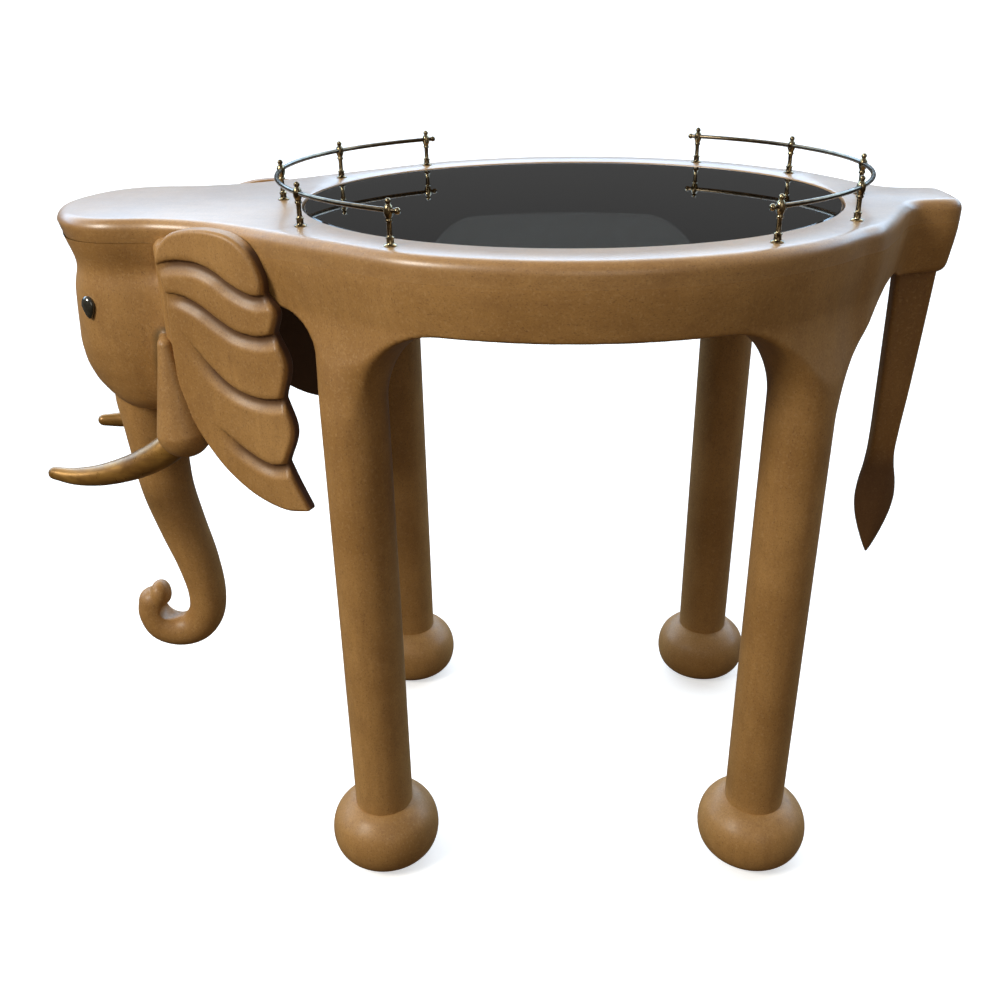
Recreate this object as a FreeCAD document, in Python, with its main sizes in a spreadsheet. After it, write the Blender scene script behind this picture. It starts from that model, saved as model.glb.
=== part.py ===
import FreeCAD
import math
import os
import Part
import Sketcher

# An oval side table carved as a standing elephant: glass top, brass gallery, head in front.
# Millimetres. X runs from the face (-X) to the tail (+X), Z is up and the floor is Z = 0.
# The origin lies on the floor under the middle of the table's outer box.

DIMENSIONS = (
    # the wooden top, an oval with a neck board in front and a tail bracket behind
    ("table_height", 760),
    ("oval_centre", 75),
    ("oval_long_radius", 345),
    ("oval_wide_radius", 305),
    ("top_thickness", 24),
    ("apron_depth", 74),
    ("apron_thickness", 45),
    ("face_reach", 491),
    ("row_shift", 17.5),
    ("tail_reach", 497),
    ("oval_cut", 297),
    ("apron_half_span", 150),
    ("neck_half_width", 105),
    ("neck_start", 147),
    ("shoulder_step", 29),
    ("chest_lap", 5),
    ("rump_lap", 13),
    ("haunch_start", 348),
    ("haunch_half_width", 165),
    ("bracket_half_width", 44),
    ("bracket_depth", 80),
    ("bracket_corner", 14),
    ("bracket_bend", 4),
    # the glass and its rebate
    ("glass_long_radius", 293),
    ("glass_wide_radius", 248),
    ("glass_thickness", 8),
    ("glass_recess", 1),
    ("glass_play", 1.5),
    ("ledge_width", 14),
    ("bumper_height", 1.5),
    ("bumper_radius", 5),
    # legs and feet
    ("leg_offset_x", 226),
    ("leg_offset_y", 195),
    ("leg_bottom_radius", 35),
    ("leg_top_radius", 35.5),
    ("leg_bottom_level", 78),
    ("flare_level", 615),
    ("flare_radius", 100),
    ("capital_radius", 132),
    ("pad_thickness", 4),
    ("pad_radius", 42),
    # head
    ("neck_plane", 359),
    ("jowl_plane", 334),
    ("jowl_half_width", 111),
    ("head_half_width", 98),
    ("chin_level", 528),
    ("trunk_radius", 37),
    ("ear_thickness", 18),
    ("ear_splay", 25),
    ("ear_root_x", 352),
    ("ear_root_y", 108.5),
    ("eye_long_radius", 11),
    ("eye_wide_radius", 8),
    ("cheek_radius", 27),
    ("cheek_length", 132),
    # tail
    ("tail_x", 467),
    ("tail_top_half", 23.2),
    ("tail_low_half", 15.8),
    ("tail_tuft_half", 24.6),
    ("tail_tuft_drop", 60),
    ("tail_tip_level", 310),
    ("tail_neck_level", 451),
    ("tail_thickness", 26),
    ("tail_lean", 5),
    # gallery
    ("rail_long_radius", 318),
    ("rail_wide_radius", 280),
    ("rail_radius", 2.4),
    ("rail_level", 32),
    ("post_height", 43),
    ("post_flange_radius", 6.5),
    ("post_shaft_radius", 2.6),
    ("post_bulb_radius", 5),
    ("knob_radius", 4),
    ("stud_radius", 1.5),
    ("stud_length", 16),
    # joinery
    ("dowel_radius", 5),
    ("dowel_half_length", 20),
    ("screw_radius", 2.2),
)

FRONT = -1
REAR = 1
NEAR = -1
FAR = 1
CORNERS = ((FRONT, NEAR), (FRONT, FAR), (REAR, NEAR), (REAR, FAR))
END_NAMES = {FRONT: "front", REAR: "rear"}
SIDE_NAMES = {NEAR: "near", FAR: "far"}

document = FreeCAD.newDocument("elephant_table")
sheet = document.addObject("Spreadsheet::Sheet", "Sizes")
for row, (alias, value) in enumerate(DIMENSIONS, start=1):
    sheet.set(f"A{row}", alias)
    sheet.set(f"B{row}", str(value))
    sheet.setAlias(f"B{row}", alias)
document.recompute()

pieces = []


def size(alias):
    return float(getattr(sheet, alias))


def vector(x, y, z=0.0):
    return FreeCAD.Vector(x, y, z)


def bind(thing, prop, rule):
    thing.setExpression(prop, rule)


def keep(thing, label):
    thing.Label = label
    pieces.append(thing)
    return thing


def new_body(label):
    return keep(document.addObject("PartDesign::Body", label + "_body"), label)


def new_sketch(body, role, level=0.0):
    plane = [item for item in body.Origin.OriginFeatures if item.Role == role][0]
    sketch = body.newObject("Sketcher::SketchObject", "outline")
    sketch.AttachmentSupport = [(plane, "")]
    sketch.MapMode = "FlatFace"
    sketch.AttachmentOffset = FreeCAD.Placement(vector(0, 0, level), FreeCAD.Rotation())
    return sketch


def rule_value(rule):
    return float(FreeCAD.Units.Quantity(str(sheet.evalExpression(rule))).Value)


def sheet_rule(rule):
    """The rule with each alias spelt as the expression engine reads it."""
    words = rule.split()
    aliases = {alias for alias, _ in DIMENSIONS}
    return " ".join("Sizes." + word if word in aliases else word for word in words)


def straight_profile(sketch, corners):
    """A closed outline of lines, every corner held to the sheet by two dimensions."""
    rules = [(sheet_rule(str(x)), sheet_rule(str(y))) for x, y in corners]
    places = [vector(rule_value(x), rule_value(y)) for x, y in rules]
    count = len(places)
    for index in range(count):
        sketch.addGeometry(Part.LineSegment(places[index], places[(index + 1) % count]))
    for index in range(count):
        sketch.addConstraint(Sketcher.Constraint("Coincident", index, 2, (index + 1) % count, 1))
    for index, (x_rule, y_rule) in enumerate(rules):
        corner = places[index]
        for kind, rule, measure in (("DistanceX", x_rule, corner.x), ("DistanceY", y_rule, corner.y)):
            number = sketch.addConstraint(Sketcher.Constraint(kind, -1, 1, index, 1, measure))
            sketch.setExpression(f"Constraints[{number}]", rule)


def chained_outline(sketch, edges):
    """A closed outline of ready-made edges that meet end to end, each fixed where it lies."""
    for edge in edges:
        number = sketch.addGeometry(edge)
        sketch.addConstraint(Sketcher.Constraint("Block", number))


def line(start, end):
    return Part.LineSegment(vector(*start), vector(*end))


def arc(start, middle, end):
    return Part.Arc(vector(*start), vector(*middle), vector(*end))


def spline(points):
    curve = Part.BSplineCurve()
    curve.interpolate([vector(*point) for point in points])
    return curve


def pad(body, sketch, length_rule, name="pad"):
    feature = body.newObject("PartDesign::Pad", name)
    feature.Profile = sketch
    bind(feature, "Length", sheet_rule(length_rule))
    return feature


def pocket_upwards(body, sketch, length_rule, name="pocket"):
    feature = body.newObject("PartDesign::Pocket", name)
    feature.Profile = sketch
    feature.Reversed = True
    bind(feature, "Length", sheet_rule(length_rule))
    return feature


def revolve(body, sketch):
    feature = body.newObject("PartDesign::Revolution", "turned")
    feature.Profile = sketch
    feature.ReferenceAxis = (sketch, ["V_Axis"])
    feature.Angle = 360
    return feature


def turned_piece(label, corners):
    """A lathe-turned piece about Z from corners (radius, level)."""
    body = new_body(label)
    sketch = new_sketch(body, "XZ_Plane")
    straight_profile(sketch, corners)
    revolve(body, sketch)
    return body


def place(thing, x, y, z, axis=(0, 0, 1), degrees=0.0):
    thing.Placement = FreeCAD.Placement(vector(x, y, z), FreeCAD.Rotation(vector(*axis), degrees))


# ---- the plan of the top ---------------------------------------------------------------

top_level = size("table_height")
board_level = top_level - size("top_thickness")
apron_level = top_level - size("apron_depth")
centre_x = size("oval_centre")
front_cut = centre_x - size("oval_cut")
rear_cut = centre_x + size("oval_cut")
neck_plane = -size("neck_plane")
chest_plane = front_cut - size("apron_thickness") + size("chest_lap")
rump_plane = rear_cut + size("apron_thickness") + size("rump_lap")


def oval_half_width(x, inset=0.0):
    long_radius = size("oval_long_radius") - inset
    wide_radius = size("oval_wide_radius") - inset
    share = min(1.0, abs(x - centre_x) / long_radius)
    return wide_radius * math.sqrt(1.0 - share * share)


# The shoulder is where the oval swells out of the neck, and the haunch is its twin behind.
shoulder = (front_cut, size("neck_start") + size("shoulder_step"))
shoulder_middle = (-165, 217)
shoulder_end = (-90, oval_half_width(-90))
haunch_start = (size("haunch_start"), oval_half_width(size("haunch_start")))
haunch = (rear_cut, size("haunch_half_width"))
neck_side = (
    shoulder,
    (chest_plane, size("neck_start")),
    (-310, 120),
    (neck_plane, size("neck_half_width") + 1),
)
brow_side = (
    (neck_plane, size("neck_half_width") + 1),
    (-418, size("neck_half_width") - 2),
    (-456, 84),
    (-480, 48),
    (-size("face_reach"), 0),
)
bracket_side = (
    (size("tail_reach") - size("bracket_corner"), size("bracket_half_width") - 2),
    (450, size("bracket_half_width") + 2),
    (rump_plane, 63),
)
rump_side = (
    (rump_plane, 63),
    (404, 112),
    haunch,
)


def mirrored(points):
    return tuple((x, -y) for x, y in reversed(points))


def oval_arc(start_x, end_x, side, inset=0.0):
    """The part of the oval from start_x to end_x on one side, as an arc of three points."""
    middle_x = (start_x + end_x) / 2
    start = (start_x, side * oval_half_width(start_x, inset))
    middle = (middle_x, side * oval_half_width(middle_x, inset))
    end = (end_x, side * oval_half_width(end_x, inset))
    return arc(start, middle, end)


def ellipse(long_rule, wide_rule, sketch):
    """A whole ellipse about the oval's centre, its two radii held to the sheet."""
    long_radius = rule_value(sheet_rule(long_rule))
    wide_radius = rule_value(sheet_rule(wide_rule))
    middle = vector(centre_x, 0)
    curve = Part.Ellipse(middle + vector(long_radius, 0), middle + vector(0, wide_radius), middle)
    sketch.addGeometry(curve)


def top_ring():
    body = new_body("top_ring")
    sketch = new_sketch(body, "XY_Plane", board_level)
    near_edge = [
        spline(mirrored((shoulder_end, shoulder_middle, shoulder))[::-1]),
        oval_arc(shoulder_end[0], centre_x, NEAR),
        oval_arc(centre_x, haunch_start[0], NEAR),
        line((haunch_start[0], -haunch_start[1]), (haunch[0], -haunch[1])),
    ]
    rear_edge = [line((haunch[0], -haunch[1]), haunch)]
    far_edge = [
        line(haunch, haunch_start),
        oval_arc(haunch_start[0], centre_x, FAR),
        oval_arc(centre_x, shoulder_end[0], FAR),
        spline((shoulder_end, shoulder_middle, shoulder)),
    ]
    front_edge = [line(shoulder, (shoulder[0], -shoulder[1]))]
    chained_outline(sketch, near_edge + rear_edge + far_edge + front_edge)
    pad(body, sketch, "top_thickness")
    opening = new_sketch(body, "XY_Plane", board_level)
    ledge = "glass_play - ledge_width"
    ellipse("glass_long_radius + " + ledge, "glass_wide_radius + " + ledge, opening)
    pocket_upwards(body, opening, "top_thickness", "opening")
    rebate = new_sketch(body, "XY_Plane", top_level)
    ellipse("glass_long_radius + glass_play", "glass_wide_radius + glass_play", rebate)
    cut = body.newObject("PartDesign::Pocket", "rebate")
    cut.Profile = rebate
    bind(cut, "Length", sheet_rule("glass_thickness + glass_recess + bumper_height"))
    return body


def slab(label, edges, low, height_rule):
    body = new_body(label)
    sketch = new_sketch(body, "XY_Plane", low)
    chained_outline(sketch, edges)
    pad(body, sketch, height_rule)
    return body


def neck_board():
    edges = [
        spline(neck_side),
        spline(brow_side),
        spline(mirrored(brow_side)),
        spline(mirrored(neck_side)),
        line((shoulder[0], -shoulder[1]), shoulder),
    ]
    return slab("neck_board", edges, board_level, "top_thickness")


def neck_block():
    side = neck_side[1:]
    edges = [
        spline(side),
        line(side[-1], (side[-1][0], -side[-1][1])),
        spline(mirrored(side)),
        line((side[0][0], -side[0][1]), side[0]),
    ]
    return slab("neck_block", edges, apron_level, "apron_depth - top_thickness")


def chest_rail():
    side = neck_side[:2]
    edges = [
        line(side[0], side[1]),
        line(side[1], (side[1][0], -side[1][1])),
        line((side[1][0], -side[1][1]), (side[0][0], -side[0][1])),
        line((side[0][0], -side[0][1]), side[0]),
    ]
    return slab("chest_rail", edges, apron_level, "apron_depth - top_thickness")


def rump_rail():
    edges = [
        spline(rump_side),
        line(haunch, (haunch[0], -haunch[1])),
        spline(mirrored(rump_side)),
        line((rump_plane, -rump_side[0][1]), rump_side[0]),
    ]
    return slab("rump_rail", edges, apron_level, "apron_depth - top_thickness")


def bracket_outline():
    corner = bracket_side[0]
    end_x = size("tail_reach")
    end_y = corner[1] - size("bracket_corner")
    bend = (end_x - size("bracket_bend"), corner[1] - size("bracket_bend"))
    rim = [
        line((end_x, -end_y), (end_x, end_y)),
        arc((end_x, end_y), bend, corner),
        spline(bracket_side),
    ]
    back = [
        spline(mirrored(bracket_side)),
        arc((corner[0], -corner[1]), (bend[0], -bend[1]), (end_x, -end_y)),
    ]
    return rim, back


def tail_bracket():
    """A board over the rump that drops to a deep block beyond it, bevelled at its foot."""
    body = new_body("tail_bracket")
    rim, back = bracket_outline()
    board = new_sketch(body, "XY_Plane", board_level)
    rump = [spline(rump_side), line(haunch, (haunch[0], -haunch[1])), spline(mirrored(rump_side))]
    chained_outline(board, rim + rump + back)
    pad(body, board, "top_thickness")
    block = new_sketch(body, "XY_Plane", top_level - size("bracket_depth"))
    step = bracket_side[-1]
    chained_outline(block, rim + [line(step, (step[0], -step[1]))] + back)
    pad(body, block, "bracket_depth - top_thickness", "block")
    return body


def apron(side):
    body = new_body("apron_" + SIDE_NAMES[side])
    sketch = new_sketch(body, "XY_Plane", apron_level)
    start_x = centre_x - size("apron_half_span")
    end_x = centre_x + size("apron_half_span")
    depth = size("apron_thickness")
    outer = oval_arc(start_x, end_x, side)
    inner = oval_arc(end_x, start_x, side, depth)
    start_outer, start_inner, end_outer, end_inner = [
        (x, side * oval_half_width(x, inset)) for x in (start_x, end_x) for inset in (0, depth)
    ]
    chained_outline(sketch, [outer, line(end_outer, end_inner), inner, line(start_inner, start_outer)])
    pad(body, sketch, "apron_depth - top_thickness")
    return body


# ---- legs and feet ---------------------------------------------------------------------

LEG_BLEND = 3
CAPITAL_DEPTH = 78
CUT_MARGIN = 240
# Where the flare's arc passes: shares of its reach and of its rise.
FLARE_REACH_SHARE = 0.25
FLARE_RISE_SHARE = 0.72


def capital_zone(end, side):
    """Plan of a leg's top, in the leg's own frame: it fills the rim between its neighbours."""
    leg_x = centre_x + end * size("leg_offset_x")
    leg_y = side * size("leg_offset_y")
    inner_x = centre_x + end * size("apron_half_span")
    outer_x = centre_x + end * size("oval_cut")
    middle_x = (inner_x + outer_x) / 2
    outer_edge = shoulder[1] if end == FRONT else haunch[1]
    corners = (
        (inner_x, oval_half_width(inner_x)),
        (middle_x, oval_half_width(middle_x) + LEG_BLEND),
        (outer_x, outer_edge),
        (outer_x, oval_half_width(outer_x, CAPITAL_DEPTH)),
        (middle_x, oval_half_width(middle_x, CAPITAL_DEPTH)),
        (inner_x, oval_half_width(inner_x, CAPITAL_DEPTH)),
    )
    return [(x - leg_x, side * y - leg_y) for x, y in corners]


def leg(end, side):
    """A turned shaft that flares like a trumpet, trimmed to the curve of the apron."""
    body = new_body(f"leg_{END_NAMES[end]}_{SIDE_NAMES[side]}")
    sketch = new_sketch(body, "XZ_Plane")
    bottom = size("leg_bottom_level")
    flare = size("flare_level")
    shaft = size("leg_top_radius")
    reach = size("flare_radius")
    top_reach = size("capital_radius")
    corners = (
        (0, bottom),
        (size("leg_bottom_radius"), bottom),
        (shaft, flare),
        (reach, apron_level),
        (top_reach, apron_level),
        (top_reach, board_level),
        (0, board_level),
    )
    flare_middle = (
        shaft + FLARE_REACH_SHARE * (reach - shaft),
        flare + FLARE_RISE_SHARE * (apron_level - flare),
    )
    chained_outline(
        sketch,
        [
            line(corners[0], corners[1]),
            line(corners[1], corners[2]),
            arc(corners[2], flare_middle, corners[3]),
            line(corners[3], corners[4]),
            line(corners[4], corners[5]),
            line(corners[5], corners[6]),
            line(corners[6], corners[0]),
        ],
    )
    revolve(body, sketch)
    trim = new_sketch(body, "XY_Plane", flare)
    rim = capital_zone(end, side)
    loop = [
        arc(rim[0], rim[1], rim[2]),
        line(rim[2], rim[3]),
        arc(rim[3], rim[4], rim[5]),
        line(rim[5], rim[0]),
    ]
    chained_outline(trim, loop)
    chained_outline(trim, square_frame(CUT_MARGIN))
    pocket_upwards(body, trim, "table_height - top_thickness - flare_level", "trim")
    place(body, centre_x + end * size("leg_offset_x"), side * size("leg_offset_y"), 0)
    return body


def square_frame(half):
    """A square around what a pocket leaves standing."""
    places = ((-half, -half), (half, -half), (half, half), (-half, half))
    return [line(places[index], places[(index + 1) % 4]) for index in range(4)]


# Outline of a foot from its flat base up to the seat of the leg: radius and level.
FOOT_SIDE = (
    (49, 4),
    (55, 8.5),
    (60.5, 16),
    (64, 27),
    (64.8, 38),
    (63, 50),
    (58.5, 60.5),
    (51, 69),
    (44, 74.5),
    (37, 78),
)


def foot(end, side):
    """A turned ball foot, flat where it meets the leg above and the glide below."""
    body = new_body(f"foot_{END_NAMES[end]}_{SIDE_NAMES[side]}")
    sketch = new_sketch(body, "XZ_Plane")
    low = (0, FOOT_SIDE[0][1])
    high = (0, FOOT_SIDE[-1][1])
    chained_outline(
        sketch,
        [line(low, FOOT_SIDE[0]), spline(FOOT_SIDE), line(FOOT_SIDE[-1], high), line(high, low)],
    )
    revolve(body, sketch)
    place(body, centre_x + end * size("leg_offset_x"), side * size("leg_offset_y"), 0)
    return body


# ---- groups of identical small pieces ----------------------------------------------------

def cylinder_between(start, end, radius):
    start = vector(*start)
    end = vector(*end)
    return Part.makeCylinder(radius, (end - start).Length, start, end - start)


def group(label, solids):
    """Identical small pieces that share one node, each its own solid."""
    feature = document.addObject("Part::Feature", label + "_group")
    feature.Shape = Part.makeCompound(solids)
    return keep(feature, label)


def leg_place(end, side, level):
    return (centre_x + end * size("leg_offset_x"), side * size("leg_offset_y"), level)


def floor_pads():
    solids = []
    for end, side in CORNERS:
        low = leg_place(end, side, 0)
        solids.append(Part.makeCylinder(size("pad_radius"), size("pad_thickness"), vector(*low)))
    return group("floor_pads", solids)


def foot_dowels():
    half = size("dowel_half_length")
    joint = size("leg_bottom_level")
    solids = []
    for end, side in CORNERS:
        low = leg_place(end, side, joint - half)
        high = leg_place(end, side, joint + half)
        solids.append(cylinder_between(low, high, size("dowel_radius")))
    return group("foot_dowels", solids)


LEG_DOWEL_SPREAD = 16
LEG_DOWEL_RISE = 9


def leg_dowels():
    solids = []
    start_level = board_level - size("dowel_half_length")
    for end, side in CORNERS:
        x, y, _ = leg_place(end, side, 0)
        for step in (-1, 1):
            low = (x + step * LEG_DOWEL_SPREAD, y + side * LEG_DOWEL_SPREAD / 2, start_level)
            high = (low[0], low[1], board_level + LEG_DOWEL_RISE)
            solids.append(cylinder_between(low, high, size("dowel_radius")))
    return group("leg_dowels", solids)


# How far the dowels of the cross rails stand inside the edge of the carcass.
CHEST_DOWEL_INSET = 18
RUMP_DOWEL_INSET = 75


def rail_dowels():
    """Dowels that run from each leg's top into the aprons and the cross rails."""
    half = size("dowel_half_length")
    level = (apron_level + board_level) / 2
    joints = []
    for end in (FRONT, REAR):
        x = centre_x + end * size("apron_half_span")
        joints.append((x, oval_half_width(x) - size("apron_thickness") / 2))
    joints.append((front_cut, size("neck_start") - CHEST_DOWEL_INSET))
    joints.append((rear_cut, haunch[1] - RUMP_DOWEL_INSET))
    solids = []
    for x, y in joints:
        for side in (NEAR, FAR):
            start = (x - half, side * y, level)
            end = (x + half, side * y, level)
            solids.append(cylinder_between(start, end, size("dowel_radius")))
    return group("rail_dowels", solids)


def block_dowels():
    """Thinner dowels along X that hold the neck, the head and the tail bracket."""
    half = size("dowel_half_length")
    radius = size("dowel_radius") - 1
    low_level = (apron_level + board_level) / 2
    high_level = board_level + size("top_thickness") / 2 - 3
    # joint plane, level, distance from the middle
    joints = (
        (chest_plane, low_level, 60),
        (neck_plane, low_level, 45),
        (rump_plane, low_level, 25),
        (front_cut, high_level, 120),
        (rear_cut, high_level, 90),
    )
    solids = []
    for x, level, spread in joints:
        for side in (NEAR, FAR):
            start = (x - half, side * spread, level)
            end = (x + half, side * spread, level)
            solids.append(cylinder_between(start, end, radius))
    return group("block_dowels", solids)


# ---- head --------------------------------------------------------------------------------

def head_levels():
    """Sections of the head: level, face, back, half width in front, half width behind, rounding."""
    wide = size("head_half_width")
    rear = size("jowl_half_width")
    back = neck_plane
    jowl = -size("jowl_plane")
    chin = size("trunk_radius") + 1
    return (
        (board_level, -487, back, wide + 3, wide + 3, 75),
        (706, -475, back, wide - 6, wide - 6, 70),
        (apron_level, -482, back, wide - 3, wide - 1, 70),
        (apron_level - 3, -482, jowl, wide - 3, rear, 70),
        (660, -488, jowl, wide, rear, 72),
        (600, -489, jowl, wide - 4, rear, 70),
        (562, -480, jowl, wide - 14, rear - 12, 88),
        (size("chin_level"), -469, neck_plane - 34, chin, chin, 38),
    )


def face_section(face, back, half_width, rear_half_width, nose):
    """A section of the head: straight at the back and sides, round in front."""
    corner_x = face + nose
    far_corner = (corner_x, half_width)
    near_corner = (corner_x, -half_width)
    bend = 1 / math.sqrt(2)
    far_bend = (corner_x - nose * bend, half_width * bend)
    near_bend = (corner_x - nose * bend, -half_width * bend)
    return [
        line((back, -rear_half_width), (back, rear_half_width)),
        line((back, rear_half_width), far_corner),
        spline((far_corner, far_bend, (face, 0))),
        spline(((face, 0), near_bend, near_corner)),
        line(near_corner, (back, -rear_half_width)),
    ]


def head_block(seats):
    body = document.addObject("PartDesign::Body", "head_carving")
    sections = []
    for level, *outline in head_levels():
        sketch = new_sketch(body, "XY_Plane", level)
        chained_outline(sketch, face_section(*outline))
        sections.append(sketch)
    loft = body.newObject("PartDesign::AdditiveLoft", "carving")
    loft.Profile = sections[0]
    loft.Sections = sections[1:]
    loft.Ruled = True
    return let_in(body, seats, "head_block")


# Centre line of the trunk in the plane Y = 0, with the radius at each point.
TRUNK_LINE = (
    (-431, 528, 37),
    (-428, 470, 34.5),
    (-425, 410, 31.5),
    (-414, 355, 29),
    (-402, 305, 26.5),
    (-396, 256, 24),
    (-401, 224, 23),
    (-417, 203, 22.5),
    (-440, 197, 22.5),
    (-461, 205, 22.5),
    (-470, 224, 21.5),
    (-469, 243, 20.5),
)


def circle_wire(centre, direction, radius):
    return Part.Wire([Part.Circle(vector(*centre), direction, radius).toShape()])


TIP_SHARE = 0.985


def horn(stations):
    """A round, tapering, bent solid through stations (centre, radius), with a ball at its tip."""
    centres = [vector(*centre) for centre, _ in stations]
    wires = []
    for index, (centre, radius) in enumerate(stations):
        before = centres[max(index - 1, 0)]
        after = centres[min(index + 1, len(centres) - 1)]
        wires.append(circle_wire(centre, after - before, radius))
    solid = Part.makeLoft(wires, True, False)
    tip_centre, tip_radius = stations[-1]
    return solid.fuse(Part.makeSphere(TIP_SHARE * tip_radius, vector(*tip_centre)))


def trunk():
    stations = [((x, 0, z), radius) for x, z, radius in TRUNK_LINE]
    feature = document.addObject("Part::Feature", "trunk_carving")
    feature.Shape = horn(stations).removeSplitter()
    return keep(feature, "trunk")


def trunk_dowel():
    x, joint, _ = TRUNK_LINE[0]
    low = (x, 0, joint - size("dowel_half_length"))
    high = (x, 0, joint + size("dowel_half_length"))
    return group("trunk_dowel", [cylinder_between(low, high, size("dowel_radius"))])


TUSK_LINE = (
    ((-362, 103, 519), 17.5),
    ((-388, 104, 500), 17),
    ((-416, 102, 485), 15.5),
    ((-444, 98, 474.5), 13.8),
    ((-471, 94, 467.5), 12),
    ((-499, 89, 464.5), 10),
    ((-524.5, 83, 466), 7.5),
)
TUSK_DOWEL = ((-354, 103, 525), (-382, 103, 507))


def tusk(side):
    stations = [((x, side * y, z), radius) for (x, y, z), radius in TUSK_LINE]
    feature = document.addObject("Part::Feature", "tusk_carving")
    feature.Shape = horn(stations).removeSplitter()
    return keep(feature, "tusk_" + SIDE_NAMES[side])


CHEEK_FOOT = (-353, 117, 505)
CHEEK_TILT = 4
# Outline of the cheek in shares of its radius and length.
CHEEK_SIDE = ((0, 0), (0.72, 0.07), (1, 0.22), (0.76, 0.48), (0.4, 0.78), (0, 1))


CHEEK_GLUE = 0.3


def turn_cheek(body, side, spare=0.0):
    """Turns a cheek in a body; a seat for it is the same shape with room to spare for glue."""
    sketch = new_sketch(body, "XZ_Plane")
    radius = size("cheek_radius") + spare
    length = size("cheek_length") + 2 * spare
    side_curve = spline([(out * radius, up * length) for out, up in CHEEK_SIDE])
    chained_outline(sketch, [side_curve, line((0, length), (0, 0))])
    revolve(body, sketch)
    x, y, z = CHEEK_FOOT
    place(body, x, side * y, z - spare, (0, 1, 0), -CHEEK_TILT)
    return body


def cheek(side):
    """A tear-shaped swelling, let into the head and the ear, that the tusk stands in."""
    return turn_cheek(new_body("cheek_" + SIDE_NAMES[side]), side)


def cheek_seat(side):
    """The hollow cut in the head and the ear for a cheek; it is not a piece of the table."""
    body = document.addObject("PartDesign::Body", "cheek_seat_" + SIDE_NAMES[side])
    return turn_cheek(body, side, CHEEK_GLUE)


# Ear outline seen from outside: distance behind the root, and level.
EAR_TOP = (
    (10, 562),
    (9, 642),
    (10, 690),
    (3, 724),
    (22, 748),
    (45, 755),
    (78, 757),
    (104, 752),
    (122, 738),
    (134, 715),
    (134, 700),
)
EAR_LOBES = (
    ((134, 700), (147, 683), (141, 661)),
    ((141, 661), (154, 630), (144, 592)),
    ((144, 592), (154, 557), (140, 519)),
    ((140, 519), (150, 497), (165, 468)),
)
EAR_LOWER = ((165, 468), (136, 464), (98, 474), (62, 498), (37, 527), (18, 556), (10, 562))


def let_in(host, guests, label):
    """The host with a seat cut in it for each guest."""
    for number, guest in enumerate(guests):
        seat = document.addObject("Part::Cut", f"{label}_seat_{number}")
        seat.Base = host
        seat.Tool = guest
        host = seat
    return keep(host, label)


def ear(side, neighbours):
    """A carved board with a scalloped back edge, seated where it meets its neighbours."""
    name = "ear_" + SIDE_NAMES[side]
    body = document.addObject("PartDesign::Body", name + "_board")
    sketch = new_sketch(body, "XZ_Plane")
    lobes = [arc(*lobe) for lobe in EAR_LOBES]
    chained_outline(sketch, [spline(EAR_TOP)] + lobes + [spline(EAR_LOWER)])
    board = pad(body, sketch, "ear_thickness")
    board.Reversed = side == FAR
    place(body, -size("ear_root_x"), side * size("ear_root_y"), 0, (0, 0, 1), side * size("ear_splay"))
    return let_in(body, neighbours, name)


EYE_PLACE = (-448.5, 86, 665)
EYE_TURN = 62
EYE_DEPTH = 6


def eye(side):
    name = "eye_" + SIDE_NAMES[side]
    ball = document.addObject("Part::Ellipsoid", name + "_ball")
    ball.Radius1 = EYE_DEPTH
    bind(ball, "Radius2", "Sizes.eye_wide_radius")
    bind(ball, "Radius3", "Sizes.eye_long_radius")
    ball.Angle1 = -90
    ball.Angle2 = 90
    x, y, z = EYE_PLACE
    turn = FreeCAD.Rotation(vector(0, 0, 1), -side * EYE_TURN)
    tip = FreeCAD.Rotation(vector(0, 1, 0), 90)
    ball.Placement = FreeCAD.Placement(vector(x, side * y, z), turn.multiply(tip))
    return keep(ball, name)


# Each screw of an ear: distance behind the root, level, and start inside the ear's back.
EAR_SCREWS = ((12, 700, 22), (34, 716, 24))
EAR_SCREW_COVER = 8


def ear_screws():
    """Two screws a side, from inside the neck and head out into the ear."""
    solids = []
    splay = math.radians(size("ear_splay"))
    for side in (NEAR, FAR):
        for along, level, start_in in EAR_SCREWS:
            x = -size("ear_root_x") + along * math.cos(splay)
            y = size("ear_root_y") + along * math.sin(splay)
            start = (x, side * (y - start_in), level)
            end = (x, side * (y + size("ear_thickness") - EAR_SCREW_COVER), level)
            solids.append(cylinder_between(start, end, size("screw_radius")))
    return group("ear_screws", solids)


def tusk_dowels():
    solids = []
    for side in (NEAR, FAR):
        start, end = [(x, side * y, z) for x, y, z in TUSK_DOWEL]
        solids.append(cylinder_between(start, end, size("dowel_radius")))
    return group("tusk_dowels", solids)


# ---- tail --------------------------------------------------------------------------------

def tail():
    """A flat tapering stick that ends in a spear-shaped tuft."""
    body = new_body("tail")
    sketch = new_sketch(body, "XZ_Plane", -size("tail_thickness") / 2)
    top = top_level - size("bracket_depth")
    neck = size("tail_neck_level")
    tip = size("tail_tip_level")
    wide = size("tail_top_half")
    slim = size("tail_low_half")
    lean = size("tail_lean")
    tuft = size("tail_tuft_half")
    belly = neck - size("tail_tuft_drop")
    taper = (belly + tip) / 2
    tuft_side = ((slim, neck), (tuft, belly), (slim / 2, taper), (0, tip))
    chained_outline(
        sketch,
        [
            line((-wide, top), (wide, top)),
            line((wide, top), (slim - lean, neck)),
            spline([(x - lean, z) for x, z in tuft_side]),
            spline([(-x - lean, z) for x, z in reversed(tuft_side)]),
            line((-slim - lean, neck), (-wide, top)),
        ],
    )
    pad(body, sketch, "tail_thickness")
    place(body, size("tail_x"), 0, 0)
    return body


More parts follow.
